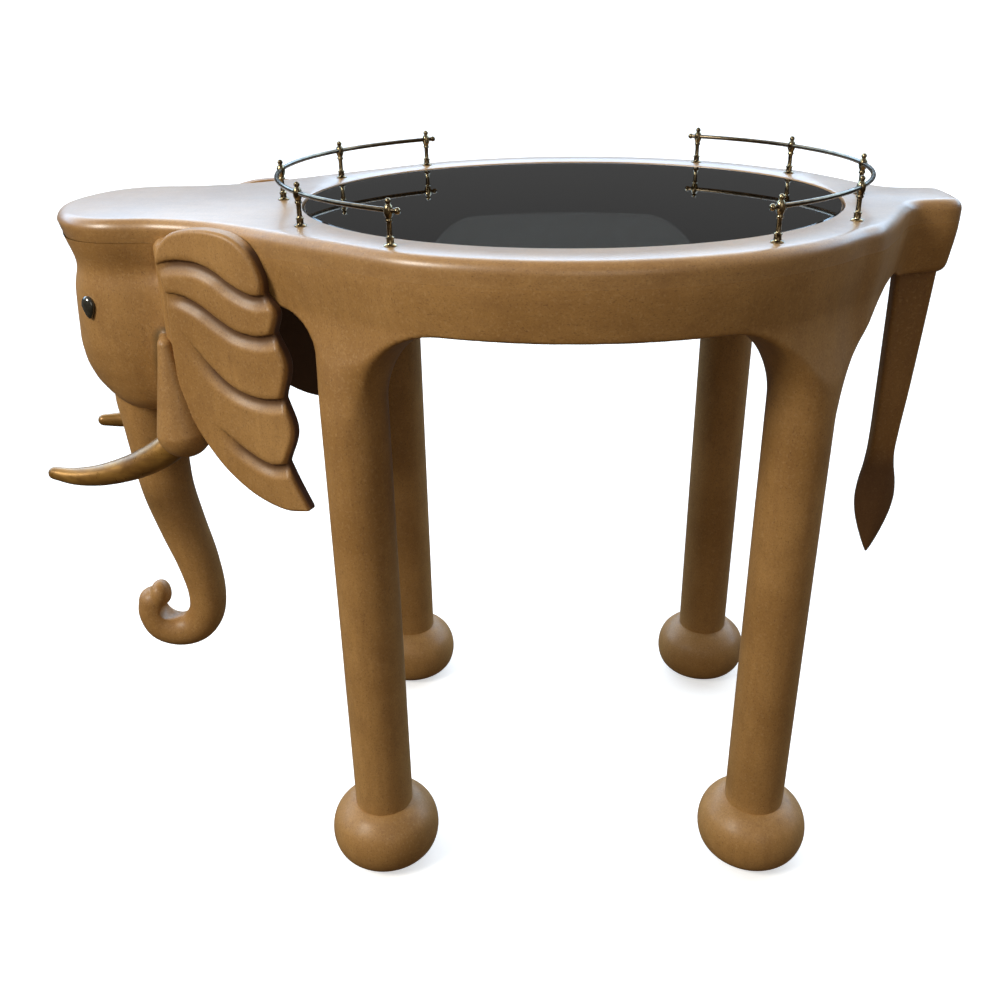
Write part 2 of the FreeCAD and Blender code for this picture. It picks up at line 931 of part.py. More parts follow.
def tail_dowel():
    joint = top_level - size("bracket_depth")
    low = (size("tail_x"), 0, joint - size("dowel_half_length"))
    high = (size("tail_x"), 0, joint + size("dowel_half_length"))
    return group("tail_dowel", [cylinder_between(low, high, size("dowel_radius"))])


# ---- glass and gallery -------------------------------------------------------------------

def glass_insert():
    body = new_body("glass_insert")
    sketch = new_sketch(body, "XY_Plane", top_level - size("glass_recess") - size("glass_thickness"))
    ellipse("glass_long_radius", "glass_wide_radius", sketch)
    pad(body, sketch, "glass_thickness")
    return body


BUMPER_COUNT = 8


def glass_bumpers():
    middle_long = size("glass_long_radius") + size("glass_play") - size("ledge_width") / 2
    middle_wide = size("glass_wide_radius") + size("glass_play") - size("ledge_width") / 2
    level = top_level - size("glass_recess") - size("glass_thickness") - size("bumper_height")
    solids = []
    for number in range(BUMPER_COUNT):
        angle = math.radians((number + 0.5) * 360 / BUMPER_COUNT)
        spot = vector(centre_x + middle_long * math.cos(angle), middle_wide * math.sin(angle), level)
        solids.append(Part.makeCylinder(size("bumper_radius"), size("bumper_height"), spot))
    return group("glass_bumpers", solids)


# Angles round the oval of each gallery's five posts, counted from its own end of the table.
POST_ANGLES = (-56.5, -30.5, 0, 30.5, 56.5)


def rail_point(degrees):
    angle = math.radians(degrees)
    x = centre_x + size("rail_long_radius") * math.cos(angle)
    y = size("rail_wide_radius") * math.sin(angle)
    return x, y


def rail_heading(degrees):
    angle = math.radians(degrees)
    along_x = -size("rail_long_radius") * math.sin(angle)
    along_y = size("rail_wide_radius") * math.cos(angle)
    return math.degrees(math.atan2(along_y, along_x))


def gallery_angle(end, degrees):
    return degrees if end == REAR else 180 - degrees


ROD_OVERHANG = 1.8


def gallery_rail(end):
    """A round brass rod bent to the oval, through the necks of its five posts."""
    body = new_body("gallery_rail_" + END_NAMES[end])
    level = top_level + size("rail_level")
    path = new_sketch(body, "XY_Plane", level)
    first = gallery_angle(end, POST_ANGLES[0])
    last = gallery_angle(end, POST_ANGLES[-1])
    low = math.radians(min(first, last) - ROD_OVERHANG)
    high = math.radians(max(first, last) + ROD_OVERHANG)
    middle = vector(centre_x, 0)
    whole = Part.Ellipse(
        middle + vector(size("rail_long_radius"), 0), middle + vector(0, size("rail_wide_radius")), middle
    )
    path.addGeometry(Part.ArcOfEllipse(whole, low, high))
    document.recompute()
    section = body.newObject("Sketcher::SketchObject", "section")
    section.AttachmentSupport = [(path, "Edge1")]
    section.MapMode = "NormalToEdge"
    number = section.addGeometry(Part.Circle(vector(0, 0), vector(0, 0, 1), size("rail_radius")))
    section.addConstraint(Sketcher.Constraint("Coincident", number, 3, -1, 1))
    held = section.addConstraint(Sketcher.Constraint("Radius", number, size("rail_radius")))
    section.setExpression(f"Constraints[{held}]", "Sizes.rail_radius")
    document.recompute()
    pipe = body.newObject("PartDesign::AdditivePipe", "rod")
    pipe.Profile = section
    pipe.Spine = (path, ["Edge1"])
    return body


def post_profile():
    flange = size("post_flange_radius")
    shaft = size("post_shaft_radius")
    bulb = size("post_bulb_radius")
    level = size("rail_level")
    height = size("post_height")
    return (
        (0, 0),
        (flange, 0),
        (flange, 1.5),
        (shaft + 1.2, 2.5),
        (shaft + 1.2, 5),
        (shaft + 2, 5.5),
        (shaft + 2, 7.5),
        (shaft, 8.5),
        (shaft - 0.2, level - bulb - 3),
        (shaft + 1.6, level - bulb - 2),
        (shaft + 1.6, level - bulb - 0.5),
        (bulb - 0.6, level - bulb + 1.5),
        (bulb, level - 1.5),
        (bulb, level + 1.5),
        (bulb - 0.6, level + bulb - 1.5),
        (shaft, level + bulb - 0.2),
        (shaft - 0.6, height - 4.6),
        (shaft + 0.1, height - 3.2),
        (shaft + 0.1, height - 1.6),
        (shaft - 1.2, height - 0.3),
        (0, height),
    )


ROD_PLAY = 0.2


def gallery_post(end, number, degrees):
    """A turned brass post, bored across for the rod."""
    label = f"gallery_post_{END_NAMES[end]}_{number}"
    body = turned_piece(label, post_profile())
    bore = new_sketch(body, "YZ_Plane")
    radius = size("rail_radius") + ROD_PLAY
    circle = bore.addGeometry(Part.Circle(vector(0, size("rail_level")), vector(0, 0, 1), radius))
    held = bore.addConstraint(Sketcher.Constraint("Radius", circle, radius))
    bore.setExpression(f"Constraints[{held}]", f"Sizes.rail_radius + {ROD_PLAY}")
    hole = body.newObject("PartDesign::Pocket", "rod_bore")
    hole.Profile = bore
    hole.Midplane = True
    bind(hole, "Length", "Sizes.post_flange_radius * 4")
    angle = gallery_angle(end, degrees)
    x, y = rail_point(angle)
    place(body, x, y, top_level, (0, 0, 1), rail_heading(angle))
    return body


KNOB_CLEARANCE = 0.3


def rail_knobs():
    """Turned balls that close the four ends of the rods."""
    solids = []
    for end in (FRONT, REAR):
        for degrees in (POST_ANGLES[0], POST_ANGLES[-1]):
            angle = gallery_angle(end, degrees)
            x, y = rail_point(angle)
            heading = math.radians(rail_heading(angle))
            outward = 1 if y * math.sin(heading) > 0 else -1
            reach = size("post_bulb_radius") + size("knob_radius") + KNOB_CLEARANCE
            spot = vector(
                x + outward * reach * math.cos(heading),
                y + outward * reach * math.sin(heading),
                top_level + size("rail_level"),
            )
            solids.append(Part.makeSphere(size("knob_radius"), spot))
    return group("rail_knobs", solids)


def post_studs():
    """Threaded studs that hold the posts to the wood."""
    solids = []
    for end in (FRONT, REAR):
        for degrees in POST_ANGLES:
            x, y = rail_point(gallery_angle(end, degrees))
            low = (x, y, top_level - size("stud_length"))
            high = (x, y, top_level + size("stud_length") / 2)
            solids.append(cylinder_between(low, high, size("stud_radius")))
    return group("post_studs", solids)


def build():
    top_ring()
    board = neck_board()
    neck_block()
    rail = chest_rail()
    rump_rail()
    tail_bracket()
    for side in (NEAR, FAR):
        apron(side)
    legs = {}
    for end, side in CORNERS:
        legs[end, side] = leg(end, side)
        foot(end, side)
    floor_pads()
    foot_dowels()
    leg_dowels()
    rail_dowels()
    block_dowels()
    seats = {side: cheek_seat(side) for side in (NEAR, FAR)}
    head_block(list(seats.values()))
    trunk()
    trunk_dowel()
    for side in (NEAR, FAR):
        cheek(side)
        ear(side, [seats[side], board, rail, legs[FRONT, side]])
        tusk(side)
        eye(side)
    ear_screws()
    tusk_dowels()
    tail()
    tail_dowel()
    glass_insert()
    glass_bumpers()
    for end in (FRONT, REAR):
        gallery_rail(end)
        for number, degrees in enumerate(POST_ANGLES, start=1):
            gallery_post(end, number, degrees)
    rail_knobs()
    post_studs()
    document.recompute()


def check_and_write():
    for thing in document.Objects:
        if "Invalid" in thing.State or "Error" in thing.State:
            raise SystemExit(f"{thing.Label} failed: {thing.State}")
    for piece in pieces:
        if piece.Shape.isNull() or not piece.Shape.isValid():
            raise SystemExit(f"{piece.Label} has no valid shape")
    os.makedirs("parts", exist_ok=True)
    for piece in pieces:
        shape = piece.Shape.translated(vector(size("row_shift"), 0, 0))
        shape.exportStep(os.path.join("parts", piece.Label + ".step"))
        box = shape.BoundBox
        print(f"{piece.Label:28s} {len(piece.Shape.Solids)} {piece.Shape.Volume / 1000:9.1f} cm3", end="  ")
        ranges = ((box.XMin, box.XMax), (box.YMin, box.YMax), (box.ZMin, box.ZMax))
        print(" ".join(f"{low:.0f}..{high:.0f}" for low, high in ranges))


build()
check_and_write()
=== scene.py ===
"""A side table carved as an elephant: hollow oval body, glass let into the back, brass galleries.

The shapes are worked out in millimetres in the design's own axes, whose origin is on the floor
under the row's origin but shifted along X, with the head at -X and the near side at -Y.
Each finished mesh is changed to the row's metres by to_row().
"""

import math

import bmesh
import bpy
import numpy as np
from mathutils import Matrix, Vector


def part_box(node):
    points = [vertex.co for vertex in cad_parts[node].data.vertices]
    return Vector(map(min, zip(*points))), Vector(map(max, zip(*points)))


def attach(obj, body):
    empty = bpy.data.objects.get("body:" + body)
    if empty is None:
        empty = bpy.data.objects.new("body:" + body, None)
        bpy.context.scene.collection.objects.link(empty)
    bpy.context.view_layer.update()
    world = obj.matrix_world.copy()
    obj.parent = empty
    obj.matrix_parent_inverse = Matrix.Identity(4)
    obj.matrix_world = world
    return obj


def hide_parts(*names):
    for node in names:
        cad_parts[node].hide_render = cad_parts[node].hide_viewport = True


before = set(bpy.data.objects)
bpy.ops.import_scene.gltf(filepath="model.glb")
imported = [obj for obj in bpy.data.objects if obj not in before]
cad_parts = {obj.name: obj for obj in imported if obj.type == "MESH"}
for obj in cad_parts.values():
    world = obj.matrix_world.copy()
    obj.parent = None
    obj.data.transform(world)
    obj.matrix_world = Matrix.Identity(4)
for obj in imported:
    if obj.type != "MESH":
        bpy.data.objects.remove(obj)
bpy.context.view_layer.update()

MM = 0.001
SIDES = {"near": -1, "far": 1}

# ---- driving dimensions, mm

TOP = 760.0
BOARD = 736.0
APRON = 685.0
ROUNDOVER = 12.0
WALL = 45.0
OVAL_X = 75.0
OVAL_LONG, OVAL_WIDE = 345.0, 305.0
FACE, TAIL_END = -491.0, 497.0
NECK_PLANE, CHEST_PLANE, FRONT_CUT = -359.0, -262.0, -222.0
APRON_FROM, APRON_TO = -75.0, 225.0
REAR_CUT, RUMP_PLANE = 372.0, 430.0
LEG_X, LEG_Y = 226.0, 195.0
LEG_FOOT, LEG_LOW, LEG_HIGH = 78.0, 34.5, 35.0
HAUNCH = 90.0
CHEST_HAUNCH, RUMP_HAUNCH = 42.0, 115.0
CHIN = 534.0
TRUNK_TOP = 528.0
TAIL_TOP = 680.0
MARGIN = 12.0
BODY_STEP, HEAD_STEP, CHEEK_STEP, EAR_STEP = 4.0, 3.0, 2.6, 2.0
REBATE = (294.5, 249.5)
OPENING = (280.5, 235.5)
LEDGE = 749.5
GLASS = (293.0, 248.0)
GLASS_LOW, GLASS_HIGH = 751.0, 759.0
RAIL_LONG, RAIL_WIDE, RAIL_LEVEL, RAIL_RADIUS = 318.0, 280.0, 792.0, 2.4
# Half the angle of a rail in degrees: to its last post, and past it to the knob.
RAIL_HALF = 56.5 + 1.8
KNOB_RADIUS = 3.3

glass_low, glass_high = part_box("glass_insert")
SHIFT = (glass_low[0] + glass_high[0]) / 2 / MM - OVAL_X


# ---- small tools

def smoothstep(value, start, end):
    t = np.clip((value - start) / (end - start), 0.0, 1.0)
    return t * t * (3 - 2 * t)


def round_max(a, b, radius):
    """Intersection of two distances with a round of this radius on the edge."""
    inside = np.minimum(np.maximum(a, b), -radius)
    return inside + np.hypot(np.maximum(a + radius, 0), np.maximum(b + radius, 0))


def round_min(a, b, radius):
    """Union of two distances with a fillet of this radius in the corner."""
    outside = np.maximum(np.minimum(a, b), radius)
    return outside - np.hypot(np.maximum(radius - a, 0), np.maximum(radius - b, 0))


def blend(a, b, start, end, t):
    return (end - t) / (end - start) * a + (t - start) / (end - start) * b


def curve_through(points, steps, closed=False):
    """A smooth centripetal curve through the points, as an array of points."""
    points = np.asarray(points, float)
    if closed:
        points = np.concatenate([points[-1:], points, points[:2]])
    else:
        first = 2 * points[0] - points[1]
        last = 2 * points[-1] - points[-2]
        points = np.concatenate([first[None], points, last[None]])
    out = []
    for p0, p1, p2, p3 in zip(points, points[1:], points[2:], points[3:]):
        t1 = max(np.linalg.norm(p1 - p0), 1e-6) ** 0.5
        t2 = t1 + max(np.linalg.norm(p2 - p1), 1e-6) ** 0.5
        t3 = t2 + max(np.linalg.norm(p3 - p2), 1e-6) ** 0.5
        for k in range(steps):
            t = t1 + (t2 - t1) * k / steps
            middle = blend(p1, p2, t1, t2, t)
            before = blend(blend(p0, p1, 0, t1, t), middle, 0, t2, t)
            after = blend(middle, blend(p2, p3, t2, t3, t), t1, t3, t)
            out.append(blend(before, after, t1, t2, t))
    if not closed:
        out.append(points[-2])
    return np.array(out)


def spaced(points, spacing):
    """The same closed line with evenly spaced points."""
    points = np.concatenate([points, points[:1]])
    run = np.concatenate([[0], np.cumsum(np.linalg.norm(np.diff(points, axis=0), axis=1))])
    at = np.linspace(0, run[-1], int(round(run[-1] / spacing)) + 1)[:-1]
    return np.stack([np.interp(at, run, points[:, k]) for k in range(points.shape[1])], axis=1)


def profile(stations, x_from, x_to, blur):
    """A smooth function through (position, value) stations."""
    at, values = np.array(sorted(stations), float).T
    fine = np.arange(x_from, x_to + 1.0)
    table = np.interp(fine, at, values)
    kernel = np.hanning(2 * blur + 3)[1:-1]
    padded = np.pad(table, blur, mode="edge")
    table = np.convolve(padded, kernel / kernel.sum(), mode="valid")
    return lambda x: np.interp(x, fine, table)


def line_distance(x, y, points, closed):
    """Distance from each (x, y) to a polyline."""
    ends = np.roll(points, -1, axis=0) if closed else points[1:]
    starts = points if closed else points[:-1]
    best = np.full(x.shape, 1e9)
    for (ax, ay), (bx, by) in zip(starts, ends):
        dx, dy = bx - ax, by - ay
        t = np.clip(((x - ax) * dx + (y - ay) * dy) / (dx * dx + dy * dy + 1e-12), 0, 1)
        best = np.minimum(best, (x - ax - t * dx) ** 2 + (y - ay - t * dy) ** 2)
    return np.sqrt(best)


def inside_polygon(x, y, points):
    inside = np.zeros(x.shape, bool)
    for (ax, ay), (bx, by) in zip(points, np.roll(points, -1, axis=0)):
        if ay != by:
            inside ^= ((ay > y) != (by > y)) & (x < (bx - ax) * (y - ay) / (by - ay) + ax)
    return inside


def outline_distance(x, y, points):
    """Distance to a closed outline, below zero inside it."""
    distance = line_distance(x, y, points, closed=True)
    return np.where(inside_polygon(x, y, points), -distance, distance)


class Field2D:
    """Values on a flat grid, read back smoothly."""

    def __init__(self, x_from, x_to, y_from, y_to, step, function):
        self.x_from, self.y_from, self.step = x_from, y_from, step
        xs = np.arange(x_from, x_to + step, step)
        ys = np.arange(y_from, y_to + step, step)
        self.values = function(*np.meshgrid(xs, ys, indexing="ij"))

    def soften(self, passes):
        v = self.values
        for _ in range(passes):
            v = np.pad(v, 1, mode="edge")
            v = (v[:-2, 1:-1] + v[2:, 1:-1] + v[1:-1, :-2] + v[1:-1, 2:] + 4 * v[1:-1, 1:-1]) / 8
        self.values = v
        return self

    def __call__(self, x, y):
        x, y = np.broadcast_arrays(x, y)
        gx = np.clip((x - self.x_from) / self.step, 1, self.values.shape[0] - 3.001)
        gy = np.clip((y - self.y_from) / self.step, 1, self.values.shape[1] - 3.001)
        ix, iy = gx.astype(int), gy.astype(int)
        wx, wy = self.weights(gx - ix), self.weights(gy - iy)
        total = 0.0
        for i in range(4):
            row = 0.0
            for j in range(4):
                row = row + wy[j] * self.values[ix + i - 1, iy + j - 1]
            total = total + wx[i] * row
        return total

    @staticmethod
    def weights(t):
        t2, t3 = t * t, t * t * t
        return (
            (-t3 + 2 * t2 - t) / 2,
            (3 * t3 - 5 * t2 + 2) / 2,
            (-3 * t3 + 4 * t2 + t) / 2,
            (t3 - t2) / 2,
        )


# ---- meshes out of distance functions

def net(field, low, high, step):
    """Vertices and quads of the surface where the field is zero."""
    axes = [np.arange(low[k], high[k] + step, step) for k in range(3)]
    v = np.broadcast_to(field(*np.ix_(*axes)), [len(a) for a in axes]).astype(np.float64)
    cells = tuple(n - 1 for n in v.shape)
    total = np.zeros(cells + (3,))
    count = np.zeros(cells)
    crossings = []
    for axis in range(3):
        others = [k for k in range(3) if k != axis]
        along = np.moveaxis(v, axis, 0)
        a, b = np.moveaxis(along[:-1], 0, axis), np.moveaxis(along[1:], 0, axis)
        crossed = (a < 0) != (b < 0)
        crossings.append((crossed, a < 0))
        share = np.where(crossed, a / np.where(crossed, a - b, 1.0), 0.0)
        for i in (0, 1):
            for j in (0, 1):
                part = [slice(None)] * 3
                part[others[0]] = slice(i, i + cells[others[0]])
                part[others[1]] = slice(j, j + cells[others[1]])
                part = tuple(part)
                hit = crossed[part].astype(float)
                total[..., axis] += share[part] * hit
                total[..., others[0]] += i * hit
                total[..., others[1]] += j * hit
                count += hit
    used = count > 0
    index = np.full(cells, -1)
    index[used] = np.arange(used.sum())
    corner = np.argwhere(used)
    points = (total[used] / count[used][:, None] + corner) * step + np.array([a[0] for a in axes])
    quads = []
    for axis, (crossed, inside) in enumerate(crossings):
        u, w = (axis + 1) % 3, (axis + 2) % 3
        core = [slice(None)] * 3
        core[u], core[w] = slice(1, -1), slice(1, -1)
        spots = np.argwhere(crossed[tuple(core)])
        spots[:, u] += 1
        spots[:, w] += 1
        outward = inside[tuple(spots.T)]
        ring = []
        for du, dw in ((-1, -1), (0, -1), (0, 0), (-1, 0)):
            cell = spots.copy()
            cell[:, u] += du
            cell[:, w] += dw
            ring.append(index[tuple(cell.T)])
        ring = np.stack(ring, axis=1)
        ring[~outward] = ring[~outward][:, ::-1]
        quads.append(ring)
    return points, np.concatenate(quads)


def slope(field, p, reach=0.4):
    out = np.empty_like(p)
    for k in range(3):
        ahead, behind = p.copy(), p.copy()
        ahead[:, k] += reach
        behind[:, k] -= reach
        out[:, k] = (field(*ahead.T) - field(*behind.T)) / (2 * reach)
    return out


def settle(field, points, step, rounds=4):
    """The points moved onto the surface."""
    for _ in range(rounds):
        g = slope(field, points)
        size = np.maximum((g * g).sum(1), 0.05)
        move = field(*points.T)[:, None] * g / size[:, None]
        length = np.maximum(np.linalg.norm(move, axis=1, keepdims=True), 1e-9)
        points = points - move * np.minimum(1.0, 0.6 * step / length)
    return points


def cut_flat(shape, cuts):
    """Cuts a bmesh by (point, outward normal) planes and closes each cut with flat faces."""
    for point, normal in cuts:
        everything = shape.verts[:] + shape.edges[:] + shape.faces[:]
        cut = bmesh.ops.bisect_plane(
            shape, geom=everything, dist=1e-4, plane_co=point, plane_no=normal, clear_outer=True
        )
        edges = [item for item in cut["geom_cut"] if isinstance(item, bmesh.types.BMEdge)]
        if edges:
            filled = bmesh.ops.triangle_fill(shape, edges=edges, use_beauty=True, normal=normal)
            for item in filled["geom"]:
                if isinstance(item, bmesh.types.BMFace):
                    item.smooth = False
    bmesh.ops.recalc_face_normals(shape, faces=shape.faces)


def read_all(items, name, kind, width=1):
    values = np.empty(len(items) * width, kind)
    items.foreach_get(name, values)
    return values.reshape(-1, width) if width > 1 else values


def vertex_places(mesh):
    return read_all(mesh.vertices, "co", float, 3)


def carve(name, field, low, high, step, cuts, finish, place=None, stain_and_shade=None):
    """A closed piece with the field's surface, cut flat by (point, outward normal) planes."""
    points, quads = net(field, low, high, step)
    points = settle(field, points, step)
    mesh = bpy.data.meshes.new(name)
    mesh.from_pydata(points.tolist(), [], quads.tolist())
    shape = bmesh.new()
    shape.from_mesh(mesh)
    for face in shape.faces:
        face.smooth = True
    cut_flat(shape, cuts)
    shape.to_mesh(mesh)
    shape.free()
    where = vertex_places(mesh)
    normals = slope(field, where)
    normals /= np.maximum(np.linalg.norm(normals, axis=1, keepdims=True), 1e-9)
    groove_shade_and_edge_highlight = sheltered(field, where, normals)
    darkening_values = np.zeros(len(where)) if stain_and_shade is None else stain_and_shade(where)
    if place is not None:
        where, normals = place(where), place(where + normals) - place(where)
        if np.linalg.det(place(np.eye(3)) - place(np.zeros((1, 3)))) < 0:
            mesh.flip_normals()
    return make_piece(name, mesh, where, normals, groove_shade_and_edge_highlight, darkening_values, finish)


def sheltered(field, where, normals, near=4.0, wide=11.0):
    """How deep in a groove each point is, from 0 to 1, with thin edges below 0: it drives painted shade in
    grooves and painted highlights on edges.
    """
    close = 1 - field(*(where + normals * near).T) / near
    broad = 1 - field(*(where + normals * wide).T) / wide
    under = 1 + field(*(where - normals * near).T) / near
    return np.clip(0.6 * close + 0.6 * broad, 0, 1) - 0.8 * np.clip(under, 0, 1)


def make_piece(name, mesh, where, normals, groove_shade_and_edge_highlight, darkening_values, finish):
    """A carved mesh in the row's metres, shaded by the field's own normals except on its flat cuts."""
    mesh.vertices.foreach_set("co", to_row(where).ravel())
    mesh.update()
    faces = mesh.polygons
    owner = np.repeat(np.arange(len(faces)), read_all(faces, "loop_total", int))
    smooth = read_all(faces, "use_smooth", bool)[owner][:, None]
    corners = read_all(mesh.loops, "vertex_index", int)
    chosen = np.where(smooth, normals[corners], read_all(faces, "normal", float, 3)[owner])
    mesh.normals_split_custom_set(chosen.tolist())
    note(mesh, "hollow", groove_shade_and_edge_highlight)
    note(mesh, "stain_and_shade", darkening_values)
    return add_piece(name, mesh, finish)


def note(mesh, name, values):
    layer = mesh.attributes.new(name, "FLOAT", "POINT")
    layer.data.foreach_set("value", np.asarray(values, np.float32))


def to_row(points):
    return (np.asarray(points) + np.array([SHIFT, 0, 0])) * MM


def put(name, data):
    thing = bpy.data.objects.new(name, data)
    bpy.context.scene.collection.objects.link(thing)
    return thing


def add_piece(name, mesh, finish):
    mesh.materials.append(finish)
    return put(name, mesh)


def settle_in(piece, node, body="carcass"):
    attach(piece, body)
    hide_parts(node)


# ---- meshes out of rings

def skin(rings):
    """Vertices and faces over a run of equal closed rings, closed at both ends."""
    rings = [np.asarray(ring, float) for ring in rings]
    size = len(rings[0])
    points = np.concatenate(rings)
    faces = []
    for k in range(len(rings) - 1):
        for i in range(size):
            j = (i + 1) % size
            faces.append((k * size + i, k * size + j, (k + 1) * size + j, (k + 1) * size + i))
    faces.append(tuple(range(size))[::-1])
    faces.append(tuple((len(rings) - 1) * size + i for i in range(size)))
    return points, faces


def smooth_mesh(name, points, faces, sharp_degrees):
    mesh = bpy.data.meshes.new(name)
    mesh.from_pydata(to_row(points).tolist(), [], faces)
    shape = bmesh.new()
    shape.from_mesh(mesh)
    bmesh.ops.remove_doubles(shape, verts=shape.verts, dist=1e-7)
    bmesh.ops.recalc_face_normals(shape, faces=shape.faces)
    for face in shape.faces:
        face.smooth = True
    shape.to_mesh(mesh)
    shape.free()
    mesh.set_sharp_from_angle(angle=math.radians(sharp_degrees))
    return mesh


def quarter_round(count):
    """Cosine and sine over a quarter turn, without its start."""
    turns = [math.radians(90 * k / count) for k in range(1, count + 1)]
    return [(math.cos(turn), math.sin(turn)) for turn in turns]


def circle(radius_x, radius_y, level, count, centre):
    angles = np.arange(count) / count * 2 * math.pi
    return np.stack(
        [centre[0] + radius_x * np.cos(angles), centre[1] + radius_y * np.sin(angles), 0 * angles + level],
        axis=1,
    )


def skinned(name, rings, finish, sharp_degrees):
    return add_piece(name, smooth_mesh(name, *skin(rings), sharp_degrees), finish)


def lathe(name, rows, centre, level, finish, count, sharp_degrees):
    """A turned piece from (radius, height) rows."""
    return skinned(name, [circle(r, r, level + h, count, centre) for r, h in rows], finish, sharp_degrees)


def tube_rings(line, radii, count):
    """Rings square to a line, and the direction of the line at each."""
    line = np.asarray(line, float)
    way = np.gradient(line, axis=0)
    way /= np.linalg.norm(way, axis=1, keepdims=True)
    side = np.cross(way[0], (0.0, 0.0, 1.0))
    rings = []
    angles = np.arange(count) / count * 2 * math.pi
    for centre, forward, radius in zip(line, way, radii):
        side = side - forward * np.dot(side, forward)
        side /= np.linalg.norm(side)
        up = np.cross(side, forward)
        rings.append(centre + radius * (np.cos(angles)[:, None] * side + np.sin(angles)[:, None] * up))
    return rings, way


# ---- materials

def fill(node, **values):
    """The node with inputs set by name."""
    for key, value in values.items():
        node.inputs[key.replace("_", " ")].default_value = value
    return node


class Nodes:
    """A node tree, with short calls for what the finishes and the world share."""

    def __init__(self, tree, place):
        self.tree = tree
        self.place = self.node("ShaderNodeTexCoord").outputs[place]

    def node(self, kind, **settings):
        node = self.tree.nodes.new(kind)
        for key, value in settings.items():
            setattr(node, key, value)
        return node

    def link(self, source, target):
        self.tree.links.new(source, target)

    def ramp(self, source, *stops):
        ramp = self.node("ShaderNodeValToRGB")
        elements = ramp.color_ramp.elements
        while len(elements) < len(stops):
            elements.new(0.5)
        for element, (position, colour) in zip(elements, stops):
            element.position = position
            if not isinstance(colour, tuple):
                colour = (colour, colour, colour)
            element.color = (*colour, 1)
        self.link(source, ramp.inputs["Fac"])
        return ramp.outputs["Color"]

    def mix(self, amount, a, b):
        mix = self.node("ShaderNodeMix", data_type="RGBA")
        for value, socket in ((amount, mix.inputs[0]), (a, mix.inputs[6]), (b, mix.inputs[7])):
            if isinstance(value, tuple):
                socket.default_value = (*value, 1)
            else:
                self.link(value, socket)
        return mix.outputs[2]


class Material(Nodes):
    """The nodes of one finish round its shader."""

    def __init__(self, name):
        self.material = bpy.data.materials.new(name)
        self.material.use_nodes = True
        super().__init__(self.material.node_tree, "Object")
        self.shader = self.tree.nodes["Principled BSDF"]

    def set(self, **values):
        fill(self.shader, **values)
        return self

    def noise(self, scale, detail=3.0, rough=0.5, stretch=(1, 1, 1)):
        mapping = fill(self.node("ShaderNodeMapping"), Scale=stretch)
        self.link(self.place, mapping.inputs["Vector"])
        texture = fill(self.node("ShaderNodeTexNoise"), Scale=scale, Detail=detail, Roughness=rough)
        self.link(mapping.outputs["Vector"], texture.inputs["Vector"])
        return texture.outputs["Fac"]

    def attribute(self, name):
        return self.node("ShaderNodeAttribute", attribute_name=name).outputs["Fac"]

    def colour(self, source):
        self.link(source, self.shader.inputs["Base Color"])

    def roughness(self, source):
        self.link(source, self.shader.inputs["Roughness"])

    def bump(self, *layers):
        """Bump layers of (height source, strength, depth in metres)."""
        last = None
        for height, strength, depth in layers:
            bump = fill(self.node("ShaderNodeBump"), Strength=strength, Distance=depth)
            self.link(height, bump.inputs["Height"])
            if last is not None:
                self.link(last, bump.inputs["Normal"])
            last = bump.outputs["Normal"]
        self.link(last, self.shader.inputs["Normal"])


def lacquered_wood(name, along, tint=(1.0, 1.0, 1.0), coat=0.22):
    """Tan wood with fine pores along the grain, painted shade in hollows, painted highlights on edges, and
    lacquer.
    """
    m = Material(name)

    def along_grain(share):
        return tuple(share if k == along else 1.0 for k in range(3))

    light = tuple(c * t for c, t in zip((0.440, 0.243, 0.080), tint))
    dark = tuple(c * t for c, t in zip((0.320, 0.165, 0.046), tint))
    colour = m.ramp(m.noise(7.0, 5.0, 0.62), (0.36, dark), (0.64, light))
    speckle = m.noise(520.0, 2.0, 0.65)
    pores = m.ramp(m.noise(900.0, 1.0, 0.4, along_grain(0.4)), (0.64, 0.0), (0.72, 1.0))
    # The hollow attribute: above 0 in grooves, where its layer paints shade; below 0 on thin edges and round the
    # top, where the lighter layer paints highlights.
    hollow = m.attribute("hollow")
    # Painted highlight: thin edges lighter, where the hollow attribute is below 0.
    edge_highlight = m.node("ShaderNodeMath", operation="MULTIPLY")
    edge_highlight.inputs[1].default_value = -1.0
    m.link(hollow, edge_highlight.inputs[0])
    layers = (
        # source, where the layer begins and is full, its share there, its colour
        (m.noise(38.0, 4.0, 0.68, along_grain(0.45)), 0.50, 0.72, 0.42, (0.245, 0.125, 0.040)),
        (m.noise(120.0, 3.0, 0.6, along_grain(0.12)), 0.42, 0.74, 0.22, (0.215, 0.098, 0.030)),
        (speckle, 0.48, 0.76, 0.50, (0.200, 0.096, 0.032)),
        (m.noise(340.0, 2.0, 0.5), 0.54, 0.72, 0.36, (0.49, 0.300, 0.125)),
        (pores, 0.0, 1.0, 0.42, (0.090, 0.042, 0.016)),
        # Painted shade in grooves and hollows.
        (hollow, 0.04, 0.55, 0.88, (0.070, 0.046, 0.014)),
        # Painted highlight on thin edges and on the top's roundover.
        (edge_highlight.outputs[0], 0.08, 0.55, 0.45, (0.53, 0.325, 0.140)),
        # Painted shade on the ears' backs, rims and grooves; a dark stain on the tail's tassel; the feet darker
        # towards the bottom.
        (m.attribute("stain_and_shade"), 0.0, 1.0, 0.93, (0.050, 0.018, 0.010)),
    )
    for source, begin, full, share, over in layers:
        colour = m.mix(m.ramp(source, (begin, 0.0), (full, share)), colour, over)
    m.colour(colour)
    m.roughness(m.ramp(m.noise(60.0, 4.0, 0.6), (0.3, 0.50), (0.7, 0.62)))
    m.bump((speckle, 0.10, 0.0004), (pores, -0.10, 0.0002), (m.noise(22.0, 2.0), 0.08, 0.0030))
    m.set(IOR=1.45, Coat_Weight=coat, Coat_Roughness=0.30, Coat_IOR=1.5)
    return m.material


